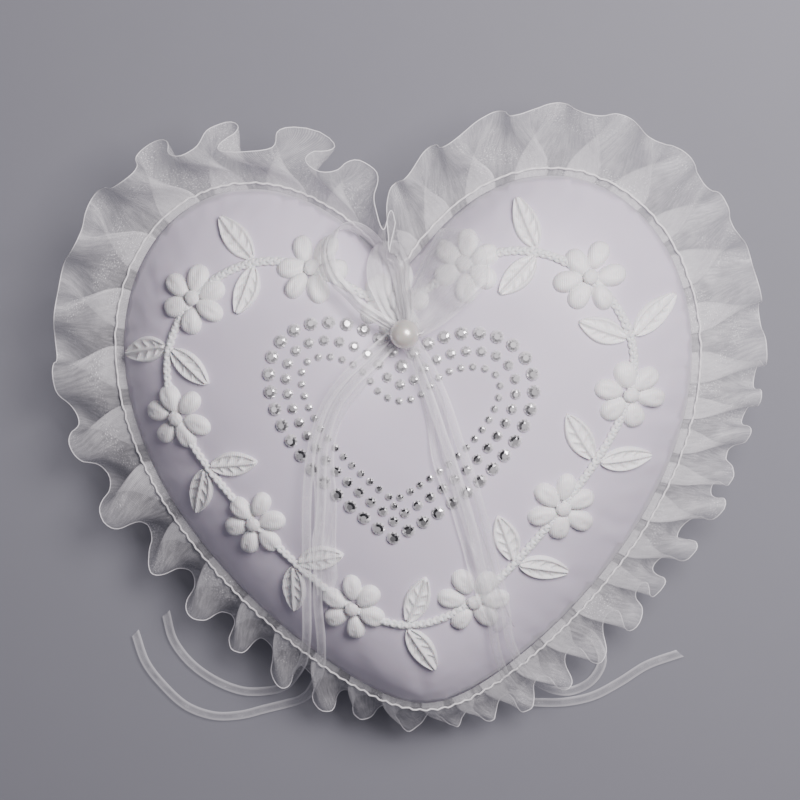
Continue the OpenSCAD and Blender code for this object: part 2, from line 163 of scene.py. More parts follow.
class CrystalSettings(bpy.types.PropertyGroup):
    outer: FloatProperty(name="Outer stones", description="Diameter", default=4.8 * MM, unit="LENGTH")
    middle: FloatProperty(name="Middle stones", description="Diameter", default=3.8 * MM, unit="LENGTH")
    inner: FloatProperty(name="Inner stones", description="Diameter", default=2.8 * MM, unit="LENGTH")
    row_gap: FloatProperty(name="Row gap", description="Between rows", default=6 * MM, unit="LENGTH")


class BowSettings(bpy.types.PropertyGroup):
    pearl: FloatProperty(name="Pearl", description="Diameter of the pearl", default=10 * MM, unit="LENGTH")
    tail: FloatProperty(name="Tail", description="Width of a tail's ribbon", default=11 * MM, unit="LENGTH")
    tie: FloatProperty(name="Tie", description="Width of the narrow ties", default=3.2 * MM, unit="LENGTH")


class StageSettings(bpy.types.PropertyGroup):
    floor: FloatVectorProperty(
        name="Floor", description="Colour of the table",
        default=(0.22, 0.225, 0.25), size=3, subtype="COLOR")
    key: FloatProperty(
        name="Key light", description="Strength of the large overhead light", default=10.5, min=0)
    fill: FloatProperty(name="Fill light", description="Strength of the side light", default=0.8, min=0)
    sky: FloatProperty(name="Sky", description="Strength of the surrounding light", default=0.11, min=0)


# ---- Curves in the plan ----

def curve(terms, t):
    """Point of a heart curve, t degrees clockwise from its notch."""
    a = math.radians(t)
    x = sum(c * math.sin((k + 1) * a) for k, c in enumerate(terms[0]))
    y = sum(c * math.cos(k * a) for k, c in enumerate(terms[1]))
    return Vector((x, y)) * HALF_WIDTH


def heading(terms, t):
    """Direction in which a heart curve runs at t."""
    return (curve(terms, t + 1) - curve(terms, t - 1)).normalized()


def outward(terms, t):
    """Direction out of a heart curve at t."""
    h = heading(terms, t)
    return Vector((-h.y, h.x))


class Run:
    """Length along a list of points, and the way back from a length to a place in the list."""

    def __init__(self, points):
        self.points = [Vector(p) for p in points]
        self.lengths = [0.0]
        for a, b in zip(self.points, self.points[1:]):
            self.lengths.append(self.lengths[-1] + (b - a).length)
        self.total = self.lengths[-1]

    def place(self, s):
        s = min(max(s, 0.0), self.total)
        i = min(max(bisect.bisect_right(self.lengths, s) - 1, 0), len(self.points) - 2)
        span = self.lengths[i + 1] - self.lengths[i]
        return i + (s - self.lengths[i]) / span if span else i

    def at(self, s):
        k = self.place(s)
        i = min(int(k), len(self.points) - 2)
        return self.points[i].lerp(self.points[i + 1], k - i)


class HeartRun(Run):
    """A heart curve by its length, clockwise from the notch."""

    def __init__(self, terms):
        super().__init__([curve(terms, t) for t in range(361)])

    def angle(self, s):
        return self.place(s % self.total)


SEAM = HeartRun(PILLOW)
VINE_RUN = HeartRun(VINE)


def reach_table():
    """Directions of the right half's seam points, clockwise from the notch, and their distances."""
    points = [curve(PILLOW, t) for t in range(181)]
    return [math.atan2(p.x, p.y) for p in points], [p.length for p in points]


REACH_ANGLES, REACHES = reach_table()


def reach(p):
    """Distance from the origin to the seam, in the direction of p."""
    angle = math.atan2(abs(p.x), p.y)
    i = min(max(bisect.bisect_right(REACH_ANGLES, angle) - 1, 0), len(REACHES) - 2)
    share = (angle - REACH_ANGLES[i]) / (REACH_ANGLES[i + 1] - REACH_ANGLES[i])
    return REACHES[i] + share * (REACHES[i + 1] - REACHES[i])


def crown(p):
    """Share of the full crown at a plan point: 0 on the seam and 1 in the middle."""
    s = p.length / reach(p)
    return 0.0 if s >= 1 else (1 - s ** 2.4) ** 0.6


def smooth(x):
    """Eased step from 0 to 1 as x goes from 0 to 1."""
    x = min(max(x, 0.0), 1.0)
    return x * x * (3 - 2 * x)


def ridge(x, width):
    """Height, from 1 down to 0, of a rounded ridge at distance x from its middle line."""
    return math.exp(-((x / width) ** 2))


def smooth_path(points, step):
    """Even points on a Catmull-Rom curve through points."""
    p = [Vector(q) for q in points]
    p = [p[0] * 2 - p[1]] + p + [p[-1] * 2 - p[-2]]
    fine = []
    for a, b, c, d in zip(p, p[1:], p[2:], p[3:]):
        for k in range(12):
            u = k / 12
            fine.append(0.5 * ((2 * b) + (c - a) * u + (2 * a - 5 * b + 4 * c - d) * u ** 2
                               + (3 * b - a - 3 * c + d) * u ** 3))
    fine.append(p[-2])
    run = Run(fine)
    count = max(2, round(run.total / step))
    return [run.at(run.total * i / count) for i in range(count + 1)]


# ---- Pieces ----

def join_pillow(piece, nodes):
    """Puts a piece in the scene; it rides on the pillow and stands for the CAD nodes."""
    bpy.context.scene.collection.objects.link(piece)
    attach(piece, "root")
    if nodes:
        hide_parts(*nodes)
    return piece


def new_piece(name, bm_or_mesh, material, nodes=(), shade=True):
    """Turns a bmesh or mesh into a piece of the pillow."""
    if isinstance(bm_or_mesh, bmesh.types.BMesh):
        mesh = bpy.data.meshes.new(name)
        bm_or_mesh.to_mesh(mesh)
        bm_or_mesh.free()
    else:
        mesh = bm_or_mesh
    mesh.materials.append(material)
    mesh.polygons.foreach_set("use_smooth", [shade] * len(mesh.polygons))
    return join_pillow(bpy.data.objects.new(name, mesh), nodes)


def grid_mesh(name, rows, uv, closed=False):
    """Mesh of a grid of points; uv gives a point's map place, and closed joins the last row to the first."""
    count, width = len(rows), len(rows[0])
    bm = bmesh.new()
    verts = [[bm.verts.new(p) for p in row] for row in rows]
    layer = bm.loops.layers.uv.new("UVMap")
    for i in range(count if closed else count - 1):
        for j in range(width - 1):
            near, far = verts[i], verts[(i + 1) % count]
            face = bm.faces.new((near[j], near[j + 1], far[j + 1], far[j]))
            for loop, (a, b) in zip(face.loops, ((i, j), (i, j + 1), (i + 1, j + 1), (i + 1, j))):
                loop[layer].uv = uv(a, b)
    mesh = bpy.data.meshes.new(name)
    bm.to_mesh(mesh)
    bm.free()
    return mesh


def curve_piece(name, paths, radius, material, nodes=(), cyclic=False):
    """Round cord along each list of points."""
    data = bpy.data.curves.new(name, "CURVE")
    data.dimensions = "3D"
    data.bevel_depth = radius
    data.bevel_resolution = 2
    data.use_fill_caps = not cyclic
    for path in paths:
        spline = data.splines.new("POLY")
        spline.points.add(len(path) - 1)
        for point, p in zip(spline.points, path):
            point.co = (*p, 1)
        spline.use_cyclic_u = cyclic
        spline.use_smooth = True
    data.materials.append(material)
    return join_pillow(bpy.data.objects.new(name, data), nodes)


_face = {}


def face_tree():
    """The stuffed face as it lies, for everything that is sewn or stuck on it."""
    if "tree" not in _face:
        graph = bpy.context.evaluated_depsgraph_get()
        _face["tree"] = BVHTree.FromObject(bpy.data.objects["satin_front"], graph)
    return _face["tree"]


def on_face(x, y, lift=0.0):
    """Point above the satin at a plan place, along the satin's own normal."""
    p = Vector((x, y))
    hit, normal, _, _ = face_tree().ray_cast(Vector((x, y, 0.3)), Vector((0, 0, -1)))
    if hit is None or hit.z < SEAM_Z - 1 * MM:
        hit = Vector((x, y, SEAM_Z + CROWN * crown(p)))
        normal = Vector((0, 0, 1))
    return hit + normal * lift


def vine_place(s):
    """Plan place, forward direction and left-hand side of the vine, s along it by way of the left lobe."""
    t = VINE_RUN.angle(VINE_RUN.total - s)
    forward = -heading(VINE, t)
    return curve(VINE, t), forward, Vector((-forward.y, forward.x))


# Where the trim stands up on the face: middle, how far out it reaches and how high it is.
TRIM_SPOTS = [(vine_place(s)[0], 14.5 * MM, 3.6 * MM) for s in FLOWER_STEPS.values()]
TRIM_SPOTS += [(vine_place(s)[0], 18 * MM, 2.4 * MM) for s in LEAF_STEPS.values()]
TRIM_SLOPE = 4 * MM


def over_trim(p):
    """Extra height that loose cloth needs at p to lie over the flowers and leaves."""
    return max(high * smooth((out - (p - middle).length) / TRIM_SLOPE) for middle, out, high in TRIM_SPOTS)


# ---- Materials ----

class Nodes:
    """A material's node tree with short calls for the nodes used here."""

    def __init__(self, name):
        self.material = bpy.data.materials.new(name)
        self.material.use_nodes = True
        self.tree = self.material.node_tree
        self.tree.nodes.clear()
        self.out = self.add("ShaderNodeOutputMaterial")
        self.shader = self.add("ShaderNodeBsdfPrincipled")
        self.link(self.shader.outputs["BSDF"], self.out.inputs["Surface"])

    def add(self, kind, **settings):
        node = self.tree.nodes.new(kind)
        for key, value in settings.items():
            setattr(node, key, value)
        return node

    def link(self, a, b):
        self.tree.links.new(a, b)

    def set(self, **sockets):
        for key, value in sockets.items():
            self.shader.inputs[key.replace("_", " ")].default_value = value

    def coords(self, scale=(1, 1, 1), source="Object"):
        place = self.add("ShaderNodeTexCoord")
        mapping = self.add("ShaderNodeMapping")
        mapping.inputs["Scale"].default_value = scale
        self.link(place.outputs[source], mapping.inputs["Vector"])
        return mapping.outputs["Vector"]

    def attribute(self, name):
        return self.add("ShaderNodeAttribute", attribute_name=name).outputs["Fac"]

    def noise(self, vector, scale, detail, roughness=0.5):
        node = self.add("ShaderNodeTexNoise")
        node.inputs["Scale"].default_value = scale
        node.inputs["Detail"].default_value = detail
        node.inputs["Roughness"].default_value = roughness
        self.link(vector, node.inputs["Vector"])
        return node.outputs["Fac"]

    def waves(self, vector, scale, direction, distortion=0.0):
        node = self.add("ShaderNodeTexWave", bands_direction=direction)
        node.inputs["Scale"].default_value = scale
        node.inputs["Distortion"].default_value = distortion
        node.inputs["Detail"].default_value = 0
        self.link(vector, node.inputs["Vector"])
        return node.outputs["Fac"]

    def math(self, operation, a, b):
        node = self.add("ShaderNodeMath", operation=operation)
        for socket, value in zip(node.inputs, (a, b)):
            if isinstance(value, (int, float)):
                socket.default_value = value
            else:
                self.link(value, socket)
        return node.outputs[0]

    def spread(self, value, low, high, from_low=0.0, from_high=1.0):
        node = self.add("ShaderNodeMapRange")
        for key, v in (("From Min", from_low), ("From Max", from_high), ("To Min", low), ("To Max", high)):
            node.inputs[key].default_value = v
        self.link(value, node.inputs["Value"])
        return node.outputs[0]

    def ramp(self, value, dark, light):
        node = self.add("ShaderNodeMix", data_type="RGBA")
        node.inputs["A"].default_value = (*dark, 1)
        node.inputs["B"].default_value = (*light, 1)
        self.link(value, node.inputs["Factor"])
        return node.outputs["Result"]

    def bump(self, height, strength, distance, normal=None):
        node = self.add("ShaderNodeBump")
        node.inputs["Strength"].default_value = strength
        node.inputs["Distance"].default_value = distance
        self.link(height, node.inputs["Height"])
        if normal:
            self.link(normal, node.inputs["Normal"])
        return node.outputs["Normal"]

    def to(self, socket, value):
        self.link(value, self.shader.inputs[socket])


def shaded(color, share):
    """A colour at a share of its brightness."""
    return tuple(c * share for c in color)


def satin(name, color):
    """Bridal satin: long floats one way, a faint cross yarn, and a soft broad sheen."""
    m = Nodes(name)
    m.set(Roughness=0.42, IOR=1.46, Sheen_Weight=0.25, Sheen_Roughness=0.4, Specular_IOR_Level=0.45,
          Anisotropic=0.4, Subsurface_Weight=0.06, Subsurface_Scale=0.004)
    floats = m.noise(m.coords((1, 0.04, 1)), 2600, 2)
    cross = m.noise(m.coords((0.12, 1, 1)), 1500, 2)
    slub = m.noise(m.coords(), 18, 3)
    m.to("Base Color", m.ramp(m.spread(slub, 0, 1, 0.35, 0.62), shaded(color, 0.92), color))
    m.to("Roughness", m.spread(floats, 0.36, 0.5))
    yarn = m.bump(m.math("ADD", floats, m.math("MULTIPLY", cross, 0.5)), 0.25, 0.05 * MM)
    m.to("Normal", m.bump(slub, 0.3, 1.4 * MM, yarn))
    return m.material


def organza(name, color, low=0.12, high=0.42, selvedge=0.0):
    """Sheer plain weave with glossy glints and painted sparkles, small patches of spots made more opaque
    white; low and high are how dense it is between the yarns and on them.
    """
    m = Nodes(name)
    m.set(Roughness=0.35, IOR=1.5, Sheen_Weight=0.35, Sheen_Roughness=0.35, Specular_IOR_Level=0.7)
    place = m.coords(source="UV")
    warp = m.waves(place, 1250, "X")
    weft = m.waves(place, 1250, "Y")
    yarns = m.math("MAXIMUM", warp, weft)
    cloud = m.noise(place, 110, 4, 0.6)
    slub = m.noise(m.coords((1, 0.12, 1), source="UV"), 1500, 2)
    # Fine spots that vary the roughness and the bump, and that also place the painted sparkles.
    glint_and_painted_sparkle = m.noise(place, 2600, 1)
    painted_sparkle_patch = m.spread(m.noise(place, 70, 2), 0, 1, 0.5, 0.62)
    # Painted sparkle: small spots in patches made more opaque white, standing in for glints of light.
    painted_sparkle = m.math("MULTIPLY", m.spread(glint_and_painted_sparkle, 0, 0.75, 0.6, 0.72), painted_sparkle_patch)
    veil = m.math("ADD", m.spread(yarns, low, high, 0.45, 1.0), m.spread(cloud, -0.07, 0.1, 0.3, 0.7))
    alpha = m.math("ADD", m.math("ADD", veil, m.spread(slub, -0.06, 0.08, 0.35, 0.65)), painted_sparkle)
    edge = m.attribute("selvedge")
    m.to("Alpha", m.math("MAXIMUM", alpha, m.math("MULTIPLY", edge, selvedge)))
    m.to("Base Color", m.ramp(cloud, shaded(color, 0.94), color))
    m.to("Roughness", m.spread(glint_and_painted_sparkle, 0.15, 0.6, 0.35, 0.6))
    m.to("Normal", m.bump(m.math("ADD", slub, glint_and_painted_sparkle), 0.6, 0.08 * MM))
    return m.material


def ribbed_satin(name, color):
    """Padded trim cloth: fine ribs one way and a matt silk sheen."""
    m = Nodes(name)
    m.set(Roughness=0.5, IOR=1.46, Sheen_Weight=0.3, Sheen_Roughness=0.4,
          Subsurface_Weight=0.08, Subsurface_Scale=0.002)
    place = m.coords()
    ribs = m.waves(place, 430, "X", 0.6)
    fuzz = m.noise(place, 1800, 3)
    puff = m.noise(place, 160, 2)
    m.to("Base Color", m.ramp(puff, shaded(color, 0.93), color))
    m.to("Roughness", m.spread(ribs, 0.3, 0.5))
    fine = m.bump(fuzz, 0.4, 0.14 * MM)
    m.to("Normal", m.bump(ribs, 0.4, 0.2 * MM, fine))
    return m.material


def braid(name, color):
    """Fuzzy braided cord."""
    m = Nodes(name)
    m.set(Roughness=0.62, Sheen_Weight=0.4, Sheen_Roughness=0.5,
          Subsurface_Weight=0.1, Subsurface_Scale=0.001)
    place = m.coords()
    ply = m.noise(place, 1300, 4, 0.7)
    m.to("Base Color", m.ramp(ply, shaded(color, 0.82), color))
    m.to("Normal", m.bump(ply, 0.7, 0.25 * MM))
    return m.material


def ribbon(name, color):
    """Narrow woven ribbon with a bright selvedge on each side."""
    m = Nodes(name)
    m.set(Roughness=0.32, IOR=1.5, Sheen_Weight=0.2, Specular_IOR_Level=0.6, Anisotropic=0.5)
    place = m.coords(source="UV")
    weft = m.waves(place, 700, "Y")
    cloud = m.noise(place, 300, 2)
    m.to("Base Color", m.ramp(cloud, shaded(color, 0.93), color))
    edge = m.attribute("selvedge")
    m.to("Alpha", m.math("MAXIMUM", m.spread(cloud, 0.1, 0.28, 0.3, 0.7), m.math("MULTIPLY", edge, 0.5)))
    m.to("Normal", m.bump(weft, 0.4, 0.05 * MM))
    return m.material


def thread(name, color):
    """Twisted sewing thread."""
    m = Nodes(name)
    m.set(Roughness=0.5, Sheen_Weight=0.3)
    ply = m.noise(m.coords(), 2200, 3)
    m.to("Base Color", m.ramp(ply, shaded(color, 0.85), color))
    m.to("Normal", m.bump(ply, 0.5, 0.1 * MM))
    return m.material


def stuffing(name):
    """Crimped polyester fibre."""
    m = Nodes(name)
    m.set(Roughness=0.9, Sheen_Weight=0.5)
    tangle = m.noise(m.coords(), 420, 6, 0.75)
    m.to("Base Color", m.ramp(tangle, (0.6, 0.6, 0.59), (0.88, 0.88, 0.87)))
    m.to("Normal", m.bump(tangle, 0.9, 1.2 * MM))
    return m.material


def crystal(name):
    """Cut glass over a silver foil, with each facet's reflection painted into the base colour as a shade from
    near black to white.
    """
    m = Nodes(name)
    m.set(Metallic=0.4, Roughness=0.06, IOR=1.6, Coat_Weight=0.6, Coat_Roughness=0.02, Coat_IOR=1.5)
    painted_reflection = m.attribute("painted_reflection")
    fleck = m.noise(m.coords(), 700, 2)
    # Painted reflection: each facet's base colour comes from its painted brightness, near black on the dark
    # side and up to white.
    m.to("Base Color", m.ramp(painted_reflection, (0.015, 0.017, 0.02), (1.0, 1.0, 1.0)))
    m.to("Roughness", m.spread(fleck, 0.04, 0.18))
    return m.material


def nacre(name):
    """Ivory pearl with a soft layered lustre."""
    m = Nodes(name)
    m.set(Metallic=0.3, Roughness=0.2, IOR=1.6, Coat_Weight=0.8, Coat_Roughness=0.06,
          Subsurface_Weight=0.25, Subsurface_Scale=0.002, Sheen_Weight=0.1)
    layers = m.noise(m.coords(), 260, 3)
    m.to("Base Color", m.ramp(layers, (0.62, 0.59, 0.53), (0.76, 0.73, 0.68)))
    m.to("Roughness", m.spread(layers, 0.26, 0.36))
    m.to("Normal", m.bump(layers, 0.05, 0.1 * MM))
    return m.material


def table_top(name, color):
    """Plain matt table."""
    m = Nodes(name)
    m.set(Roughness=0.6)
    grain = m.noise(m.coords(), 60, 4)
    m.to("Base Color", m.ramp(grain, shaded(color, 0.97), color))
    return m.material


_finishes = {}


def material_for(slot):
    """One material for each finish, made when it is first asked for."""
    if slot in _finishes:
        return _finishes[slot]
    scene = bpy.context.scene
    trim, sheer = tuple(scene.ring_trim.cloth), tuple(scene.ring_ruffle.organza)
    makers = {
        "satin": lambda: satin("satin_finish", tuple(scene.ring_heart.satin)),
        "organza": lambda: organza("organza_finish", sheer),
        "bow_organza": lambda: organza("bow_organza", sheer, low=0.14, high=0.45, selvedge=0.9),
        "loop_organza": lambda: organza("loop_organza", sheer, low=0.26, high=0.7, selvedge=0.9),
        "tail_organza": lambda: organza("tail_organza", sheer, low=0.07, high=0.3, selvedge=0.45),
        "hem": lambda: thread("hem", sheer),
        "applique_satin": lambda: ribbed_satin("applique_finish", trim),
        "vine_braid": lambda: braid("vine_braid", trim),
        "ribbon": lambda: ribbon("ribbon_finish", sheer),
        "thread": lambda: thread("thread_finish", trim),
        "fibre": lambda: stuffing("fibre_finish"),
        "crystal": lambda: crystal("crystal_painted_reflection"),
        "pearl": lambda: nacre("pearl_finish"),
    }
    _finishes[slot] = makers[slot]()
    return _finishes[slot]


# ---- The stuffed heart ----

# The cloth is simulated at this many times its size, where the solver's lengths suit it.
CLOTH_SCALE = 10
# How deep the back starts and ends, in seam heights: past the table, which then presses it flat.
BACK_START = 1.05
BACK_END = 1.12
# Height over which the pressed back rounds up from the table.
PRESS_ROUNDING = 1.5 * MM
SATIN_THICKNESS = 0.4 * MM
NEAR_SEAM = 6 * MM


def flat_pattern(cell):
    """Even triangles inside the seam: points, triangles and how many of the first points are the seam."""
    count = round(SEAM.total / cell)
    seam = [curve(PILLOW, SEAM.angle(i * SEAM.total / count)) for i in range(count)]
    points = list(seam)
    rise = cell * math.sqrt(3) / 2
    rows = round(2 * HALF_WIDTH / rise)
    for j in range(-rows, rows + 1):
        for i in range(-rows, rows + 1):
            p = Vector(((i + 0.5 * (j % 2)) * cell, j * rise))
            inside = p.length < reach(p) - 0.7 * cell
            if inside and all((p - q).length > 0.6 * cell for q in near_seam(seam, p)):
                points.append(p)
    edges = [(i, (i + 1) % count) for i in range(count)]
    result = geometry.delaunay_2d_cdt(points, edges, [], 1, 1e-7)
    return result[0], [tuple(f) for f in result[2]], count


def near_seam(seam, p):
    """The seam's points close to p, and none for a place well inside the heart."""
    if p.length < 0.8 * reach(p):
        return []
    return [q for q in seam if abs(q.x - p.x) < NEAR_SEAM and abs(q.y - p.y) < NEAR_SEAM]


def settle(points, triangles, seam_count, ease, pressure, frames):
    """Cloth simulation of both panels held along the seam, with the filling as pressure."""
    inner = len(points) - seam_count
    rng = random.Random(5)

    def place(p, side):
        rise = CROWN if side > 0 else BACK_START * SEAM_Z
        ripple = 0.4 * MM * (rng.random() - 0.5)
        return Vector((p.x, p.y, side * (0.8 * rise * crown(p) + (ripple if crown(p) else 0)))) * CLOTH_SCALE

    start = [place(p, 1) for p in points] + [place(p, -1) for p in points[seam_count:]]
    cut = [Vector((p.x, p.y, 0)) * ease * CLOTH_SCALE for p in points]
    cut += cut[seam_count:]

    def back(i):
        return i if i < seam_count else i + inner

    faces = list(triangles) + [tuple(back(i) for i in reversed(f)) for f in triangles]
    mesh = bpy.data.meshes.new("heart_cloth")
    mesh.from_pydata(start, [], faces)
    cloth = bpy.data.objects.new("heart_cloth", mesh)
    scene = bpy.context.scene
    scene.collection.objects.link(cloth)
    group = cloth.vertex_groups.new(name="seam")
    group.add(list(range(seam_count)), 1.0, "REPLACE")
    cloth.shape_key_add(name="Basis")
    rest = cloth.shape_key_add(name="cut")
    rest.data.foreach_set("co", [c for p in cut for c in p])
    modifier = cloth.modifiers.new("Cloth", "CLOTH")
    settings = modifier.settings
    settings.quality = 5
    settings.mass = 0.3
    settings.tension_stiffness = 40
    settings.compression_stiffness = 20
    settings.shear_stiffness = 12
    settings.bending_stiffness = 0.8
    settings.tension_damping = settings.compression_damping = 8
    settings.shear_damping = 8
    settings.air_damping = 2
    settings.vertex_group_mass = "seam"
    settings.rest_shape_key = rest
    settings.use_pressure = True
    settings.uniform_pressure_force = pressure
    settings.effector_weights.gravity = 0
    modifier.collision_settings.use_collision = False
    for k in range(1, frames + 1):
        scene.frame_set(k)
    graph = bpy.context.evaluated_depsgraph_get()
    settled = [v.co / CLOTH_SCALE for v in cloth.evaluated_get(graph).data.vertices]
    bpy.data.objects.remove(cloth)
    scene.frame_set(1)
    return settled, faces


def fit_height(points):
    """Brings the crown and the back to the frame's heights, and presses the back flat on the table."""
    front_top = max(p.z for p in points)
    back_low = -min(p.z for p in points)
    for p in points:
        if p.z >= 0:
            p.z = SEAM_Z + p.z * CROWN / front_top
        else:
            p.z = SEAM_Z + p.z * BACK_END * SEAM_Z / back_low
    soft = PRESS_ROUNDING
    for p in points:
        if p.z < 2 * soft:
            p.z = max(0.0, p.z + (2 * soft - p.z) ** 2 / (8 * soft)) if p.z > -2 * soft else 0.0
    return points


def panel(name, node, points, faces, ease):
    """One side of the case as its own sheet with a little thickness inwards."""
    used = sorted({i for f in faces for i in f})
    index = {old: new for new, old in enumerate(used)}
    mesh = bpy.data.meshes.new(name)
    mesh.from_pydata([points[i] for i in used], [], [tuple(index[i] for i in f) for f in faces])
    bm = bmesh.new()
    bm.from_mesh(mesh)
    bmesh.ops.join_triangles(
        bm, faces=bm.faces, angle_face_threshold=math.radians(40), angle_shape_threshold=math.radians(60))
    piece = new_piece(name, bm, material_for("satin"), [node])
    rounding = piece.modifiers.new("Rounding", "SUBSURF")
    rounding.levels = rounding.render_levels = 1
    wall = piece.modifiers.new("Wall", "SOLIDIFY")
    wall.thickness = SATIN_THICKNESS
    wall.offset = -1
    return piece


def filling(points, faces):
    """The stuffing: the inside of the case, a little smaller and lumpy."""
    bm = bmesh.new()
    verts = [bm.verts.new(p) for p in points]
    for f in faces:
        bm.faces.new([verts[i] for i in f])
    bm.normal_update()
    for v in bm.verts:
        lump = 0.5 + 0.5 * noise.noise(v.co * 60)
        v.co -= v.normal * (1.2 * MM + 1.6 * MM * lump)
        v.co.z = max(v.co.z, 0.9 * MM)
    piece = new_piece("stuffing", bm, material_for("fibre"), ["fibre_fill"])


class RING_OT_heart(bpy.types.Operator):
    """Stuffs the satin heart by cloth simulation and makes its two panels and its filling"""
    bl_idname = "ring_pillow.heart"
    bl_label = "Stuffed heart"

    def execute(self, context):
        s = context.scene.ring_heart
        cell = s.cell
        points, triangles, seam_count = flat_pattern(cell)
        settled, faces = settle(points, triangles, seam_count, s.ease, s.pressure, s.frames)
        settled = fit_height(settled)
        cut_area = sum(geometry.area_tri(*[points[i] for i in f]) for f in triangles) * s.ease ** 2
        front = faces[:len(triangles)]
        back = faces[len(triangles):]
        panel("satin_front", "front_panel", settled, front, s.ease)
        panel("satin_back", "back_panel", settled, back, s.ease)
        filling(settled, faces)
        return {"FINISHED"}


# ---- Ruffle ----

# How far the ruffle stands up from the seam's plane, in degrees, by its place clockwise from the notch.
STAND = ((0, 76), (6, 62), (18, 16), (76, 8), (94, -12), (112, -38), (130, -48), (150, -50), (163, -60),
         (180, -68), (198, -60), (214, -48), (236, -40), (254, -16), (270, 10), (290, 20), (306, 36),
         (338, 38), (352, 62), (360, 76))
# Seam length that one fold takes, in millimetres, and how deeply it swings.
PITCH = ((0, 13), (10, 15), (30, 17.5), (85, 17), (105, 14), (160, 13), (195, 15), (215, 19), (245, 20),
         (290, 21), (345, 17), (360, 13))
SWING = ((0, 1.25), (12, 1.1), (30, 0.85), (80, 1.0), (105, 1.2), (145, 1.2), (163, 0.7), (198, 0.7),
         (210, 1.2), (240, 1.05), (285, 1.05), (305, 1.45), (350, 1.4), (360, 1.25))
# Steps along each fold and from the seam to the hem.
COLUMNS = 28
RUFFLE_ROWS = 16
# Distance from the seam over which the ruffle comes up to its full stand.
STAND_LENGTH = 12 * MM
PITCH_SCATTER = 0.22
HEM_RADIUS = 0.17 * MM
CORD_RADIUS = 0.34 * MM
CORD_STEP = 1.2 * MM


def along(table, x):
    """Smoothly read value of a table at x."""
    for (x0, y0), (x1, y1) in zip(table, table[1:]):
        if x <= x1:
            return y0 + (y1 - y0) * smooth((x - x0) / (x1 - x0))
    return table[-1][1]


def seam_sides(s):
    """Seam point, the direction in which the ruffle spreads and how far it stands there."""
    t = SEAM.angle(s)
    base = curve(PILLOW, t)
    o = (outward(PILLOW, t) + base.normalized()).normalized()
    return Vector((base.x, base.y, SEAM_Z)), Vector((o.x, o.y, 0)), math.radians(along(STAND, t))


def ruffle_out(s, d):
    """Point d out from the seam in the middle of the ruffle, and the normal of the ruffle's sheet there."""
    base, o, stand = seam_sides(s)
    z = Vector((0, 0, 1))
    p = base.copy()
    steps = 8
    for k in range(steps):
        e = stand * (0.55 + 0.45 * smooth((k + 0.5) / steps * d / STAND_LENGTH))
        p += (o * math.cos(e) + z * math.sin(e)) * (d / steps)
    return p, z * math.cos(e) - o * math.sin(e)


class Meander:
    """Folded edge of a gathered strip: for each fold, places along and across for even steps of the cloth."""

    def __init__(self, swings, sharps, leans, flat):
        count = len(swings)
        x = z = 0.0
        self.folds = []
        for k in range(count):
            xs, zs = [x], [z]
            for i in range(COLUMNS):
                u = k + (i + 0.5) / COLUMNS
                swing, sharp, lean = (self.between(v, u) for v in (swings, sharps, leans))
                c = math.cos(2 * math.pi * u)
                angle = swing * math.copysign(abs(c) ** sharp, c)
                x += math.cos(angle) / COLUMNS
                z += math.sin(angle) / COLUMNS
                xs.append(x + lean * z)
                zs.append(z)
            xs[0] += self.between(leans, k) * zs[0]
            span, drift = xs[-1] - xs[0], zs[-1] - zs[0]
            self.folds.append((
                [(a - xs[0]) / span for a in xs],
                [(b - zs[0] - drift * i / COLUMNS) * flat[k] for i, b in enumerate(zs)]))

    @staticmethod
    def between(values, u):
        k = math.floor(u - 0.5)
        share = smooth(u - 0.5 - k)
        return values[k % len(values)] * (1 - share) + values[(k + 1) % len(values)] * share


def ruffle_rows(width, header, pitch, gather):
    """Rows of points across the strip for every step along it, and the flat length of the strip."""
    rng = random.Random(11)
    shares = []
    s = 0.0
    while s < SEAM.total:
        scatter = 1 + PITCH_SCATTER * (2 * rng.random() - 1)
        shares.append(along(PITCH, SEAM.angle(s)) * scatter * MM * pitch)
        s += shares[-1]
    shares = [w * SEAM.total / sum(shares) for w in shares]
    starts = [sum(shares[:k]) for k in range(len(shares))]
    flat = [w * gather for w in shares]
    swings = []
    for s, w in zip(starts, shares):
        span = (ruffle_out(s + w, width)[0] - ruffle_out(s, width)[0]).length
        ease = min(max(span / (w * gather), 0.15), 0.97)
        depth = 2.1 * math.sqrt(1 - ease) * along(SWING, SEAM.angle(s + w / 2))
        swings.append(depth * rng.uniform(0.85, 1.15))
    count = len(shares)
    hem = Meander(swings, [rng.uniform(0.55, 1.1) for _ in range(count)],
                  [rng.uniform(-0.35, 0.35) for _ in range(count)], flat)
    neck = Meander([1.5] * count, [0.5] * count, [rng.uniform(0.85, 1.05) for _ in range(count)], flat)
    rows = []
    for k in range(count):
        for i in range(COLUMNS):
            column = []
            u = k + i / COLUMNS
            for j in range(RUFFLE_ROWS + 1):
                v = j / RUFFLE_ROWS
                b = smooth((v * width - 0.6 * header) / (width - 0.6 * header))
                x = neck.folds[k][0][i] * (1 - b) + hem.folds[k][0][i] * b
                z = 0.05 * neck.folds[k][1][i] * (1 - b) + hem.folds[k][1][i] * b
                pucker = noise.noise(Vector((u * 9, v * 1.3, 4))) * 0.7 * MM * min(1, 3 * v)
                p, normal = ruffle_out(starts[k] + x * shares[k], v * width)
                column.append(p + normal * (z + pucker))
            rows.append(column)
    return rows, sum(flat)


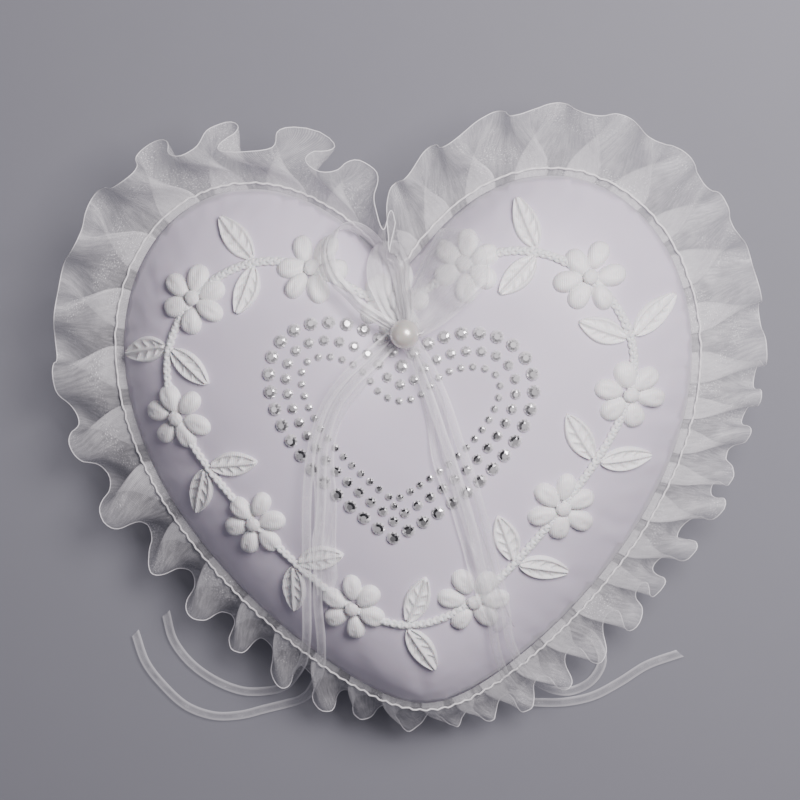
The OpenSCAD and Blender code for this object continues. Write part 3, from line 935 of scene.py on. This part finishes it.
class RING_OT_ruffle(bpy.types.Operator):
    """Gathers the organza strip into the seam, with its rolled hem and the cord stitched along its header"""
    bl_idname = "ring_pillow.ruffle"
    bl_label = "Ruffle"

    def execute(self, context):
        s = context.scene.ring_ruffle
        rows, flat = ruffle_rows(s.width, s.header, s.fold, s.gather)
        step = flat / len(rows)
        mesh = grid_mesh("ruffle", rows, lambda i, j: (i * step, j * s.width / RUFFLE_ROWS), closed=True)
        piece = new_piece("organza_ruffle", mesh, material_for("organza"), ["ruffle"])
        hem = curve_piece(
            "ruffle_hem", [[r[-1] for r in rows]], HEM_RADIUS, material_for("hem"), cyclic=True)
        cord = []
        count = round(SEAM.total / CORD_STEP)
        for i in range(count):
            wander = noise.noise(Vector((i * 0.35, 0, 0)))
            p, normal = ruffle_out(SEAM.total * i / count, s.header + 0.5 * MM * wander)
            cord.append(p + normal * (0.9 * MM + 0.4 * MM * math.sin(i * 1.9)))
        curve_piece(
            "header_cord", [cord], CORD_RADIUS, material_for("thread"), ["gathering_thread"],
            cyclic=True)
        return {"FINISHED"}


# ---- Vine trim ----

# Where a leaf's veins leave the midrib, in shares of its length.
VEINS = (0.16, 0.37, 0.58)
LEAF_THICKNESS = 0.4 * MM
# Length of the stem that one turn of its braid takes.
BRAID_LAY = 7.5 * MM


def sew_on(name, bm, node):
    """Lays a trim piece, whose points hold a plan place and a height, onto the satin."""
    for v in bm.verts:
        v.co = on_face(v.co.x, v.co.y, v.co.z)
    bmesh.ops.recalc_face_normals(bm, faces=bm.faces)
    return new_piece(name, bm, material_for("applique_satin"), [node])


def petal(bm, middle, turn, length, width, height):
    """Puffed oval with a soft crease towards its tip, closed underneath; turn is its direction in radians."""
    rings, segments = 7, 20
    d = Vector((math.cos(turn), math.sin(turn)))
    side = Vector((-d.y, d.x))
    top = bm.verts.new((middle.x, middle.y, height))
    last = None
    for r in range(1, rings + 2):
        share = min(r / rings, 1.0)
        ring = []
        for k in range(segments):
            a = 2 * math.pi * k / segments
            x = math.cos(a) * length / 2 * share
            y = math.sin(a) * width / 2 * share * (1 + 0.18 * math.cos(a))
            p = middle + d * x + side * y
            h = height * (1 - share ** 2.8) ** 0.55 if r <= rings else -0.3 * MM
            h *= 1 - 0.22 * ridge(y, 1.1 * MM) * (x / length + 0.5)
            ring.append(bm.verts.new((p.x, p.y, h)))
        for k in range(segments):
            n = (k + 1) % segments
            if last is None:
                bm.faces.new((top, ring[k], ring[n]))
            else:
                bm.faces.new((last[k], ring[k], ring[n], last[n]))
        last = ring
    bm.faces.new(reversed(last))


def flower(index, s, settings, rng):
    """Padded flower sewn on the vine, s along it."""
    middle, _, _ = vine_place(s)
    radius, height = settings.flower_radius, settings.petal_height
    bm = bmesh.new()
    start = math.radians(23 * index)
    for k in range(settings.petals):
        turn = start + 2 * math.pi * (k + rng.uniform(-0.09, 0.09)) / settings.petals
        length = radius * rng.uniform(0.78, 0.88)
        out = Vector((math.cos(turn), math.sin(turn)))
        petal(bm, middle + out * (radius * rng.uniform(0.94, 1.04) - length / 2),
              turn + rng.uniform(-0.12, 0.12), length, radius * rng.uniform(0.52, 0.62),
              height * rng.uniform(0.85, 1.15))
    heart = bmesh.ops.create_icosphere(bm, subdivisions=4, radius=0.2 * radius)["verts"]
    for v in heart:
        grain = 1 + 0.13 * noise.noise(v.co * 1700)
        v.co = Vector((
            middle.x + v.co.x * grain, middle.y + v.co.y * grain, 0.7 * height + 0.6 * v.co.z * grain))
    piece = sew_on(f"blossom_{index:02d}", bm, f"flower_{index:02d}")
    piece.data.materials.append(material_for("vine_braid"))
    button = set(range(len(piece.data.vertices) - len(heart), len(piece.data.vertices)))
    for face in piece.data.polygons:
        face.material_index = int(face.vertices[0] in button)


def leaf(bm, root, d, length, width, rng):
    """Pointed leaf with a raised rim, a midrib and slanting veins; d is its direction."""
    side = Vector((-d.y, d.x))
    steps, across = 44, 22
    bend = rng.uniform(-0.08, 0.08)

    def half(a):
        return max(0.02, math.sin(math.pi * a ** 0.92) ** 0.72) * width / 2

    def point(a, q):
        y = q * half(a)
        rim = 1.3 * MM * ridge(abs(q) - 0.82, 0.15)
        midrib = 1.5 * MM * ridge(y, 0.62 * MM)
        veins = 0.0
        for start in VEINS:
            gap = (a - start - 0.2 * abs(q)) * length
            veins += 0.75 * MM * ridge(gap, 0.6 * MM) * smooth(abs(q) / 0.15)
        h = (0.45 * MM + max(rim, midrib, veins)) * (1 - q ** 10) * smooth(a / 0.05) * smooth((1 - a) / 0.05)
        p = root + d * (a * length) + side * (y + bend * length * a * a)
        return Vector((p.x, p.y, h + 0.05 * MM))

    grid = [[bm.verts.new(point(i / steps, 2 * j / across - 1)) for j in range(across + 1)]
            for i in range(steps + 1)]
    for a, b in zip(grid, grid[1:]):
        for j in range(across):
            bm.faces.new((a[j], b[j], b[j + 1], a[j + 1]))
    left, right = [row[0] for row in grid], [row[-1] for row in reversed(grid[:-1])]
    rim = left + grid[-1][1:] + right + grid[0][-2:0:-1]
    under = [bm.verts.new(v.co - Vector((0, 0, LEAF_THICKNESS))) for v in rim]
    for k in range(len(rim)):
        n = (k + 1) % len(rim)
        bm.faces.new((rim[n], rim[k], under[k], under[n]))
    bm.faces.new(under)


def leaf_pair(index, s, settings, rng):
    """Two leaves that spread forward from the stem, s along it."""
    middle, forward, side = vine_place(s)
    bm = bmesh.new()
    for hand in (1, -1):
        a = math.radians(LEAF_SPLAY + rng.uniform(-6, 6)) * hand
        d = Vector((forward.x * math.cos(a) - forward.y * math.sin(a),
                    forward.x * math.sin(a) + forward.y * math.cos(a)))
        leaf(bm, middle + side * hand * 1.2 * MM, d, settings.leaf_length * rng.uniform(0.94, 1.05),
             settings.leaf_width, rng)
    sew_on(f"leaf_pair_{index:02d}", bm, f"leaves_{index:02d}")


class RING_OT_trim(bpy.types.Operator):
    """Sews the braided stem, the padded flowers and the leaf pairs round the face"""
    bl_idname = "ring_pillow.trim"
    bl_label = "Vine trim"

    def execute(self, context):
        s = context.scene.ring_trim
        rng = random.Random(3)
        strands = [[], [], []]
        count = round(VINE_RUN.total / (0.45 * MM))
        for i in range(count):
            d = VINE_RUN.total * i / count
            middle, _, side = vine_place(d)
            thick = 1 + 0.16 * noise.noise(Vector((d * 220, 0, 0)))
            for k, strand in enumerate(strands):
                a = 2 * math.pi * (d / BRAID_LAY + k / 3)
                p = middle + side * math.sin(a) * 0.8 * MM * thick
                strand.append(on_face(p.x, p.y, (0.85 + 0.4 * math.cos(2 * a)) * MM * thick))
        curve_piece(
            "braided_stem", strands, s.strand, material_for("vine_braid"), ["vine_stem"])
        for index, place in FLOWER_STEPS.items():
            flower(index, place, s, rng)
            if index in LEAF_STEPS:
                leaf_pair(index, LEAF_STEPS[index], s, rng)
        return {"FINISHED"}


# ---- Crystals ----

# A stone's rings from its back to its table: radius and height in shares of its radius, and turn in facets.
STONE_RINGS = ((0.96, 0, 0), (1.0, 0.16, 0), (0.76, 0.5, 0.5), (0.42, 0.66, 0))
FACETS = 10
# The side of a stone whose facets get a painted dark reflection, standing in for the dark of the room
# mirrored in them: its middle, how much that varies, and half its width.
PAINTED_DARK_SIDE = math.radians(55)
PAINTED_DARK_SCATTER = 0.5
PAINTED_DARK_REACH = 1.25


def stone(bm, place, normal, diameter, turn, painted_dark_reflection, painted_reflection_layer, rng):
    """Cut stone with a flat back; each facet gets its own painted reflection brightness, and the facets of
    its dark side get the given painted dark value.
    """
    r = diameter / 2
    count = FACETS
    basis = normal.to_track_quat("Z", "Y").to_matrix()
    rings = []
    for share, height, half in STONE_RINGS:
        ring = []
        for k in range(count):
            a = turn + 2 * math.pi * (k + half) / count
            p = Vector((math.cos(a) * r * share, math.sin(a) * r * share, r * height))
            ring.append(bm.verts.new(place + basis @ p))
        rings.append(ring)
    a, b, c, d = rings
    # Painted reflection: the table and every facet get a brightness, dark on the side that faces away from
    # the light and paler elsewhere.
    top = min(1.0, painted_dark_reflection * 1.6 + rng.uniform(0.1, 0.6))
    faces = [(bm.faces.new(reversed(a)), 0.3), (bm.faces.new(d), top)]
    painted_dark_turn = rng.gauss(PAINTED_DARK_SIDE, PAINTED_DARK_SCATTER)
    for k in range(count):
        n = (k + 1) % count
        away = abs((turn + math.tau * (k + 0.5) / count - painted_dark_turn + math.pi) % math.tau - math.pi)
        bright = painted_dark_reflection if away < PAINTED_DARK_REACH else rng.uniform(0.55, 1.0)
        faces.append((bm.faces.new((a[k], a[n], b[n], b[k])), 0.6))
        faces.append((bm.faces.new((b[k], b[n], c[k])), 0.9))
        faces.append((bm.faces.new((b[n], c[n], c[k])), 0.3 + 0.6 * bright))
        faces.append((bm.faces.new((d[n], c[k], c[n])), bright))
        faces.append((bm.faces.new((c[k], d[n], d[k])), bright * rng.uniform(0.5, 1.0)))
    for face, value in faces:
        face[painted_reflection_layer] = value


def crystal_row(name, inset, diameter, spacing, rng):
    """Row of stones along the crystal heart, inset from its outer line."""
    half = []
    for t in range(181):
        o = outward(CRYSTALS, t) if 0 < t < 180 else Vector((0, 1 if t == 0 else -1))
        q = curve(CRYSTALS, t) - o * inset
        if q.x >= 0:
            half.append(q)
    half = [Vector((0, half[0].y)), *half, Vector((0, half[-1].y))]
    run = Run(half)
    count = round(run.total / (diameter * spacing))
    bm = bmesh.new()
    painted_reflection_layer = bm.faces.layers.float.new("painted_reflection")
    for k in range(count + 1):
        p = run.at(run.total * k / count)
        for hand in ((1,) if k in (0, count) else (1, -1)):
            x = p.x * hand * math.cos(CRYSTAL_TURN) + p.y * math.sin(CRYSTAL_TURN)
            y = p.y * math.cos(CRYSTAL_TURN) - p.x * hand * math.sin(CRYSTAL_TURN)
            place = on_face(x, y, 0.15 * MM)
            normal = (on_face(x, y, 5 * MM) - on_face(x, y, 0)).normalized()
            # Painted reflection: stones higher up the face get a paler painted dark side.
            painted_dark_reflection = 0.02 + 0.4 * smooth((y + 5 * MM) / (35 * MM))
            stone(bm, place, normal, diameter, rng.uniform(0, math.tau), painted_dark_reflection, painted_reflection_layer, rng)
    new_piece(
        f"stones_{name}", bm, material_for("crystal"), [f"crystals_{name}"], shade=False)


class RING_OT_crystals(bpy.types.Operator):
    """Sets the three rows of cut stones on the face"""
    bl_idname = "ring_pillow.crystals"
    bl_label = "Crystals"

    def execute(self, context):
        s = context.scene.ring_crystals
        rng = random.Random(7)
        crystal_row("outer", 0, s.outer, 1.265, rng)
        crystal_row("middle", s.row_gap, s.middle, 1.374, rng)
        crystal_row("inner", 1.9 * s.row_gap, s.inner, 1.486, rng)
        return {"FINISHED"}


# ---- Bow ----

class Loop:
    """Shape of one bow loop.

    Its direction and the roll of its opening are in degrees, pinch is the share of the ribbon's width left
    at the knot, and round_end is how much the bight is rounded.
    """

    def __init__(self, direction, length, opening, roll, width, pinch, round_end):
        a = math.radians(direction)
        self.d = Vector((math.cos(a), math.sin(a)))
        self.side = Vector((-self.d.y, self.d.x))
        self.length, self.opening, self.roll = length, opening, math.radians(roll)
        self.width, self.pinch, self.round = width, pinch, round_end


# Places across each kind of ribbon, in shares of its width, closest at its selvedges.
LOOP_ACROSS = (0.0, 0.035, 0.07, 0.14, 0.24, 0.34, 0.43, 0.5, 0.57, 0.66, 0.76, 0.86, 0.93, 0.965, 1.0)
TAIL_ACROSS = (0.0, 0.05, 0.1, 0.18, 0.26, 0.34, 0.42, 0.5, 0.58, 0.66, 0.74, 0.82, 0.9, 0.95, 1.0)
TIE_ACROSS = (0.0, 0.12, 0.5, 0.88, 1.0)
LOOP_STEPS = 72
# How deeply a loop's ribbon is creased at the knot and rippled in its bight, and how far it wanders sideways.
CREASE = RIPPLE = 1.3 * MM
WANDER = 4.5 * MM
PEARL_BORE = 0.6 * MM
# The ladder stitches: where along the seam they start, how many there are and the millimetres between them.
STITCH_START = 190 * MM
STITCHES = 13
STITCH_GAP = 5

LOOPS = {
    "loop_left": Loop(126, 42 * MM, 9.5 * MM, 30, 12 * MM, 0.35, 0.0),
    "loop_left_small": Loop(109, 30 * MM, 5 * MM, 45, 12 * MM, 0.35, 0.05),
    "loop_right": Loop(50, 40 * MM, 4.5 * MM, 84, 24 * MM, 0.18, 0.22),
}


def loop_sheet(name, loop, seed):
    """Ribbon that goes out from the knot and comes back under itself."""
    c, s = math.cos(loop.roll), math.sin(loop.roll)
    lowest = -loop.opening * s - loop.width / 2 * c
    rows = []
    for i in range(LOOP_STEPS + 1):
        u = i / LOOP_STEPS
        a = loop.length * (1 - math.cos(math.tau * u)) / 2
        open_ = loop.opening * math.sin(math.tau * u) * math.sin(math.pi * u) ** 0.6
        full = math.sin(math.pi * u) ** 0.9
        width = loop.width * (loop.pinch + (1 - loop.pinch) * full)
        row = []
        for v in LOOP_ACROSS:
            crease = (1 - full) * CREASE * math.sin(v * 17 + seed)
            ripple = RIPPLE * noise.noise(Vector((u * 6 + seed, v * 5, 1.0))) * full
            w = (v - 0.5) * width
            p = open_ + crease + ripple
            sideways = p * c - w * s
            height = p * s + w * c
            shift = WANDER * noise.noise(Vector((u * 3, seed, 2.0))) * full
            reach_out = a * (1 - loop.round * (2 * v - 1) ** 2 * full)
            q = KNOT + loop.d * reach_out + loop.side * (sideways + shift * 0.3)
            lift = 0.7 * MM + (height - lowest) * (0.55 + 0.45 * full) + over_trim(q) * full
            row.append(on_face(q.x, q.y) + Vector((0, 0, lift + 1.5 * MM * (1 - full))))
        rows.append(row)
    centre = len(LOOP_ACROSS) // 2
    flat = Run([row[centre] for row in rows]).total
    mesh = ribbon_mesh(name, rows, LOOP_ACROSS, loop.width, flat)
    cloth = "tail_organza" if name == "loop_right" else "loop_organza"
    piece = new_piece(name, mesh, material_for(cloth), ["bow_" + name])


def ribbon_mesh(name, rows, across, width, length):
    """Mesh of a ribbon, mapped by its real width and length; its selvedges are marked for its material."""
    steps = len(rows) - 1
    mesh = grid_mesh(name, rows, lambda i, j: (across[j] * width, length * i / steps))
    edge = mesh.attributes.new("selvedge", "FLOAT", "POINT")
    values = [1.0, 0.8] + [0.0] * (len(across) - 4) + [0.8, 1.0]
    edge.data.foreach_set("value", values * len(rows))
    return mesh


def along_path(path):
    """For each of a path's even points: its length along, the point and the direction ahead."""
    run = Run(path)
    for i, p in enumerate(path):
        d = i / (len(path) - 1) * run.total
        yield d, p, (run.at(d + 2 * MM) - run.at(d - 2 * MM)).normalized()


def tail_sheet(name, width, seed):
    """Wide tail, crumpled lengthwise, that lies down the face."""
    path = smooth_path([(x * MM, y * MM, 0) for x, y in TAIL_ROUTES[name]], 1.4 * MM)
    rows = []
    for d, p, ahead in along_path(path):
        side = Vector((-ahead.y, ahead.x))
        full = 0.3 + 0.7 * smooth(d / (22 * MM))
        row = []
        for v in TAIL_ACROSS:
            slow = noise.noise(Vector((d * 35, seed, 0)))
            wave = math.sin(v * 8.5 + 2.6 * slow + seed) + 0.5 * math.sin(v * 15 + 70 * d + seed)
            narrow = 0.68 + 0.16 * noise.noise(Vector((d * 45, seed, 7)))
            q = p.to_2d() + side * ((v - 0.5) * width * full * narrow + 2.2 * MM * slow)
            lift = 1.0 * MM + (1.1 + 0.9 * wave) * MM * (0.6 + 0.4 * full) + over_trim(q) * full
            row.append(on_face(q.x, q.y, lift))
        rows.append(row)
    length = Run(path).total
    mesh = ribbon_mesh(name, rows, TAIL_ACROSS, width, length)
    piece = new_piece(name, mesh, material_for("tail_organza"), ["bow_" + name])


def tie(name, width, seed):
    """Narrow ribbon from the knot over the face and the seam onto the table."""
    path = smooth_path([Vector(p) * MM for p in TIE_ROUTES[name]], 1.5 * MM)
    for p in path:
        if p.to_2d().length < reach(p.to_2d()) - 4 * MM:
            p.z = max(p.z, on_face(p.x, p.y).z + 1.2 * MM + over_trim(p.to_2d()))
    length = Run(path).total
    rows = []
    for d, p, ahead in along_path(path):
        up = (Vector((0, 0, 1)) - ahead * ahead.z).normalized()
        twist = 0.5 * noise.noise(Vector((d * 22, seed, 0))) * smooth((p.z - 3 * MM) / (10 * MM))
        side = Matrix.Rotation(twist, 3, ahead) @ ahead.cross(up).normalized()
        lift = Matrix.Rotation(twist, 3, ahead) @ up
        slant = 0.9 * MM if len(rows) == len(path) - 1 else 0
        rows.append([
            p + side * (v - 0.5) * width + lift * 0.25 * MM * (1 - (2 * v - 1) ** 2)
            + ahead * slant * (2 * v - 1) for v in TIE_ACROSS])
    mesh = ribbon_mesh(name, rows, TIE_ACROSS, width, length)
    piece = new_piece(f"ribbon_{name}", mesh, material_for("ribbon"), [f"tie_{name}"])
    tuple(path[0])


def pearl_bead(middle, r):
    """Pearl with its bore crosswise."""
    bm = bmesh.new()
    start = math.asin(PEARL_BORE / r)
    arc = [bm.verts.new((r * math.cos(a), 0, r * math.sin(a)))
           for a in (start + (math.pi - 2 * start) * k / 28 for k in range(29))]
    edges = [bm.edges.new(pair) for pair in zip(arc, arc[1:] + arc[:1])]
    bmesh.ops.spin(
        bm, geom=arc + edges, cent=(0, 0, 0), axis=(1, 0, 0), angle=math.tau, steps=56, use_merge=True)
    bmesh.ops.remove_doubles(bm, verts=bm.verts, dist=0.001 * MM)
    bmesh.ops.recalc_face_normals(bm, faces=bm.faces)
    bmesh.ops.translate(bm, verts=bm.verts, vec=middle)
    new_piece("pearl_bead", bm, material_for("pearl"), ["pearl"])


def knot_wrap(under, top):
    """Pleated wrap of ribbon round the loops, from the satin up to the pearl."""
    bm = bmesh.new()
    bmesh.ops.create_icosphere(bm, subdivisions=5, radius=1)
    for v in bm.verts:
        a = math.atan2(v.co.y, v.co.x)
        flat = math.hypot(v.co.x, v.co.y)
        fold = 0.10 * math.sin(11 * a + 1.5 * noise.noise(v.co * 2)) * flat
        pleat = 1 + fold + 0.08 * noise.noise(v.co * 3)
        v.co = Vector((KNOT.x + v.co.x * 4.6 * MM * pleat, KNOT.y + v.co.y * 4.0 * MM * pleat,
                       under + 0.6 * MM + (v.co.z + 1) / 2 * (top - under + 0.3 * MM)))
    new_piece("knot_wrap", bm, material_for("bow_organza"), ["bow_knot"])


def bead_thread(middle, r, under):
    """Thread through the pearl's bore and down into the satin on both sides."""
    half = [(r + 0.9 * MM, under - middle.z), (r + 0.9 * MM, -1.5 * MM), (r + 0.5 * MM, -0.4 * MM),
            (r - 0.5 * MM, 0)]
    shank = [Vector((x, 0, z)) + middle for x, z in half]
    shank += [Vector((-x, 0, z)) + middle for x, z in reversed(half)]
    curve_piece("bead_thread", [shank], 0.3 * MM, material_for("thread"), ["pearl_thread"])


class RING_OT_bow(bpy.types.Operator):
    """Ties the sheer bow: loops, knot, wide tails and the pearl with its thread"""
    bl_idname = "ring_pillow.bow"
    bl_label = "Bow and pearl"

    def execute(self, context):
        s = context.scene.ring_bow
        for seed, (name, loop) in enumerate(LOOPS.items()):
            loop_sheet(name, loop, seed * 2.3)
        for seed, name in enumerate(TAIL_ROUTES):
            tail_sheet(name, s.tail, 3.1 + seed)
        low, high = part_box("pearl")
        middle = (low + high) / 2
        under = on_face(KNOT.x, KNOT.y).z
        pearl_bead(middle, s.pearl / 2)
        knot_wrap(under, low.z)
        bead_thread(middle, s.pearl / 2, under)
        return {"FINISHED"}


class RING_OT_ties(bpy.types.Operator):
    """Lays the four narrow ties that hold the rings"""
    bl_idname = "ring_pillow.ties"
    bl_label = "Ties"

    def execute(self, context):
        for seed, name in enumerate(TIE_ROUTES):
            tie(name, context.scene.ring_bow.tie, seed * 4.7)
        return {"FINISHED"}


class RING_OT_closing(bpy.types.Operator):
    """Sews the filling opening shut with ladder stitches on the back, beside the seam"""
    bl_idname = "ring_pillow.closing"
    bl_label = "Closing stitches"

    def execute(self, context):
        graph = bpy.context.evaluated_depsgraph_get()
        back = BVHTree.FromObject(bpy.data.objects["satin_back"], graph)
        stitches = []
        for i in range(STITCHES):
            t = SEAM.angle(STITCH_START + i * STITCH_GAP * MM)
            o, h = outward(PILLOW, t), heading(PILLOW, t)
            line = []
            for k in range(7):
                q = curve(PILLOW, t) - o * (1.2 + 2.4 * k / 6) * MM + h * 0.9 * MM * (k / 6 - 0.5)
                spot, normal, _, _ = back.find_nearest(Vector((q.x, q.y, SEAM_Z - 5 * MM)))
                line.append(spot + normal * 0.25 * MM)
            stitches.append(line)
        curve_piece(
            "ladder_stitches", stitches, 0.3 * MM, material_for("thread"), ["closing_stitches"])
        return {"FINISHED"}


# ---- Stage ----

# The camera aims at a plan place from nearly overhead: tilt, side and roll are in degrees.
VIEW_AIM = Vector((-2.8 * MM, 10.1 * MM))
VIEW_TILT = 10
VIEW_SIDE = 8
VIEW_ROLL = 3.5
# Width of what it sees at the seam's height, its distance from there, and its sensor in millimetres.
VIEW_FIELD = 0.280
VIEW_DISTANCE = 1.2
SENSOR = 36
# Each light's place, what it points at, its size and its colour.
KEY_LIGHT = ((0.36, 0.3, 0.66), (0, 0.02, 0.03), (0.4, 0.28), (1, 0.94, 0.975))
FILL_LIGHT = ((-0.7, -0.3, 0.8), (0, 0, 0.03), (0.6, 0.6), (0.93, 0.9, 1))
SKY_COLOR = (0.80, 0.77, 0.95, 1)


def make_camera():
    """Camera above the face, a little from the right and from the lobes' side."""
    tilt, side, roll = (math.radians(a) for a in (VIEW_TILT, VIEW_SIDE, VIEW_ROLL))
    back = Vector((math.sin(side), math.sin(tilt) * math.cos(side), math.cos(tilt) * math.cos(side)))
    right = Vector((0, 1, 0)).cross(back).normalized()
    up = back.cross(right)
    right, up = (right * math.cos(roll) - up * math.sin(roll), right * math.sin(roll) + up * math.cos(roll))
    camera = bpy.data.objects.new("camera", bpy.data.cameras.new("camera"))
    bpy.context.scene.collection.objects.link(camera)
    camera.data.sensor_width = SENSOR
    camera.data.lens = SENSOR * VIEW_DISTANCE / VIEW_FIELD
    camera.data.clip_start = 0.01
    aim = Vector((VIEW_AIM.x, VIEW_AIM.y, SEAM_Z))
    turn = Matrix((right, up, back)).transposed().to_4x4()
    camera.matrix_world = Matrix.Translation(aim + back * VIEW_DISTANCE) @ turn
    bpy.context.scene.camera = camera


def area_light(name, power, place, target, size, color):
    """Soft rectangular light that faces its target."""
    data = bpy.data.lights.new(name, "AREA")
    data.shape = "RECTANGLE"
    data.size, data.size_y = size
    data.energy = power
    data.color = color
    light = bpy.data.objects.new(name, data)
    bpy.context.scene.collection.objects.link(light)
    light.location = place
    light.rotation_euler = (Vector(place) - Vector(target)).to_track_quat("Z", "Y").to_euler()


class RING_OT_stage(bpy.types.Operator):
    """Sets the floor, the soft lights and the camera"""
    bl_idname = "ring_pillow.stage"
    bl_label = "Stage"

    def execute(self, context):
        s = context.scene.ring_stage
        bm = bmesh.new()
        bmesh.ops.create_grid(bm, x_segments=1, y_segments=1, size=3)
        mesh = bpy.data.meshes.new("floor")
        bm.to_mesh(mesh)
        bm.free()
        mesh.materials.append(table_top("table_top", tuple(s.floor)))
        floor = bpy.data.objects.new("floor", mesh)
        context.scene.collection.objects.link(floor)
        floor.location.z = -0.1 * MM
        make_camera()
        area_light("key", s.key, *KEY_LIGHT)
        area_light("fill", s.fill, *FILL_LIGHT)
        world = bpy.data.worlds.new("surround")
        world.use_nodes = True
        background = world.node_tree.nodes["Background"]
        background.inputs["Color"].default_value = SKY_COLOR
        background.inputs["Strength"].default_value = s.sky
        context.scene.world = world
        return {"FINISHED"}


# ---- Add-on ----

class RING_PT_panel(bpy.types.Panel):
    """The pillow's pieces, in the order that they are made"""
    bl_idname = "RING_PT_panel"
    bl_label = "Ring Bearer Pillow"
    bl_space_type = "VIEW_3D"
    bl_region_type = "UI"
    bl_category = "Ring Pillow"

    def draw(self, context):
        for operator in OPERATORS:
            self.layout.operator(operator.bl_idname)


SETTINGS = {
    "ring_heart": HeartSettings,
    "ring_ruffle": RuffleSettings,
    "ring_trim": TrimSettings,
    "ring_crystals": CrystalSettings,
    "ring_bow": BowSettings,
    "ring_stage": StageSettings,
}
OPERATORS = (RING_OT_stage, RING_OT_heart, RING_OT_ruffle, RING_OT_trim, RING_OT_crystals, RING_OT_bow,
             RING_OT_ties, RING_OT_closing)


def register():
    for cls in (*SETTINGS.values(), *OPERATORS, RING_PT_panel):
        bpy.utils.register_class(cls)
    for name, group in SETTINGS.items():
        setattr(bpy.types.Scene, name, PointerProperty(type=group))


def unregister():
    for name in SETTINGS:
        delattr(bpy.types.Scene, name)
    for cls in reversed((*SETTINGS.values(), *OPERATORS, RING_PT_panel)):
        bpy.utils.unregister_class(cls)


def main():
    """Makes every piece in order."""
    register()
    for operator in OPERATORS:
        group, name = operator.bl_idname.split(".")
        getattr(getattr(bpy.ops, group), name)()


if __name__ == "__main__":
    main()
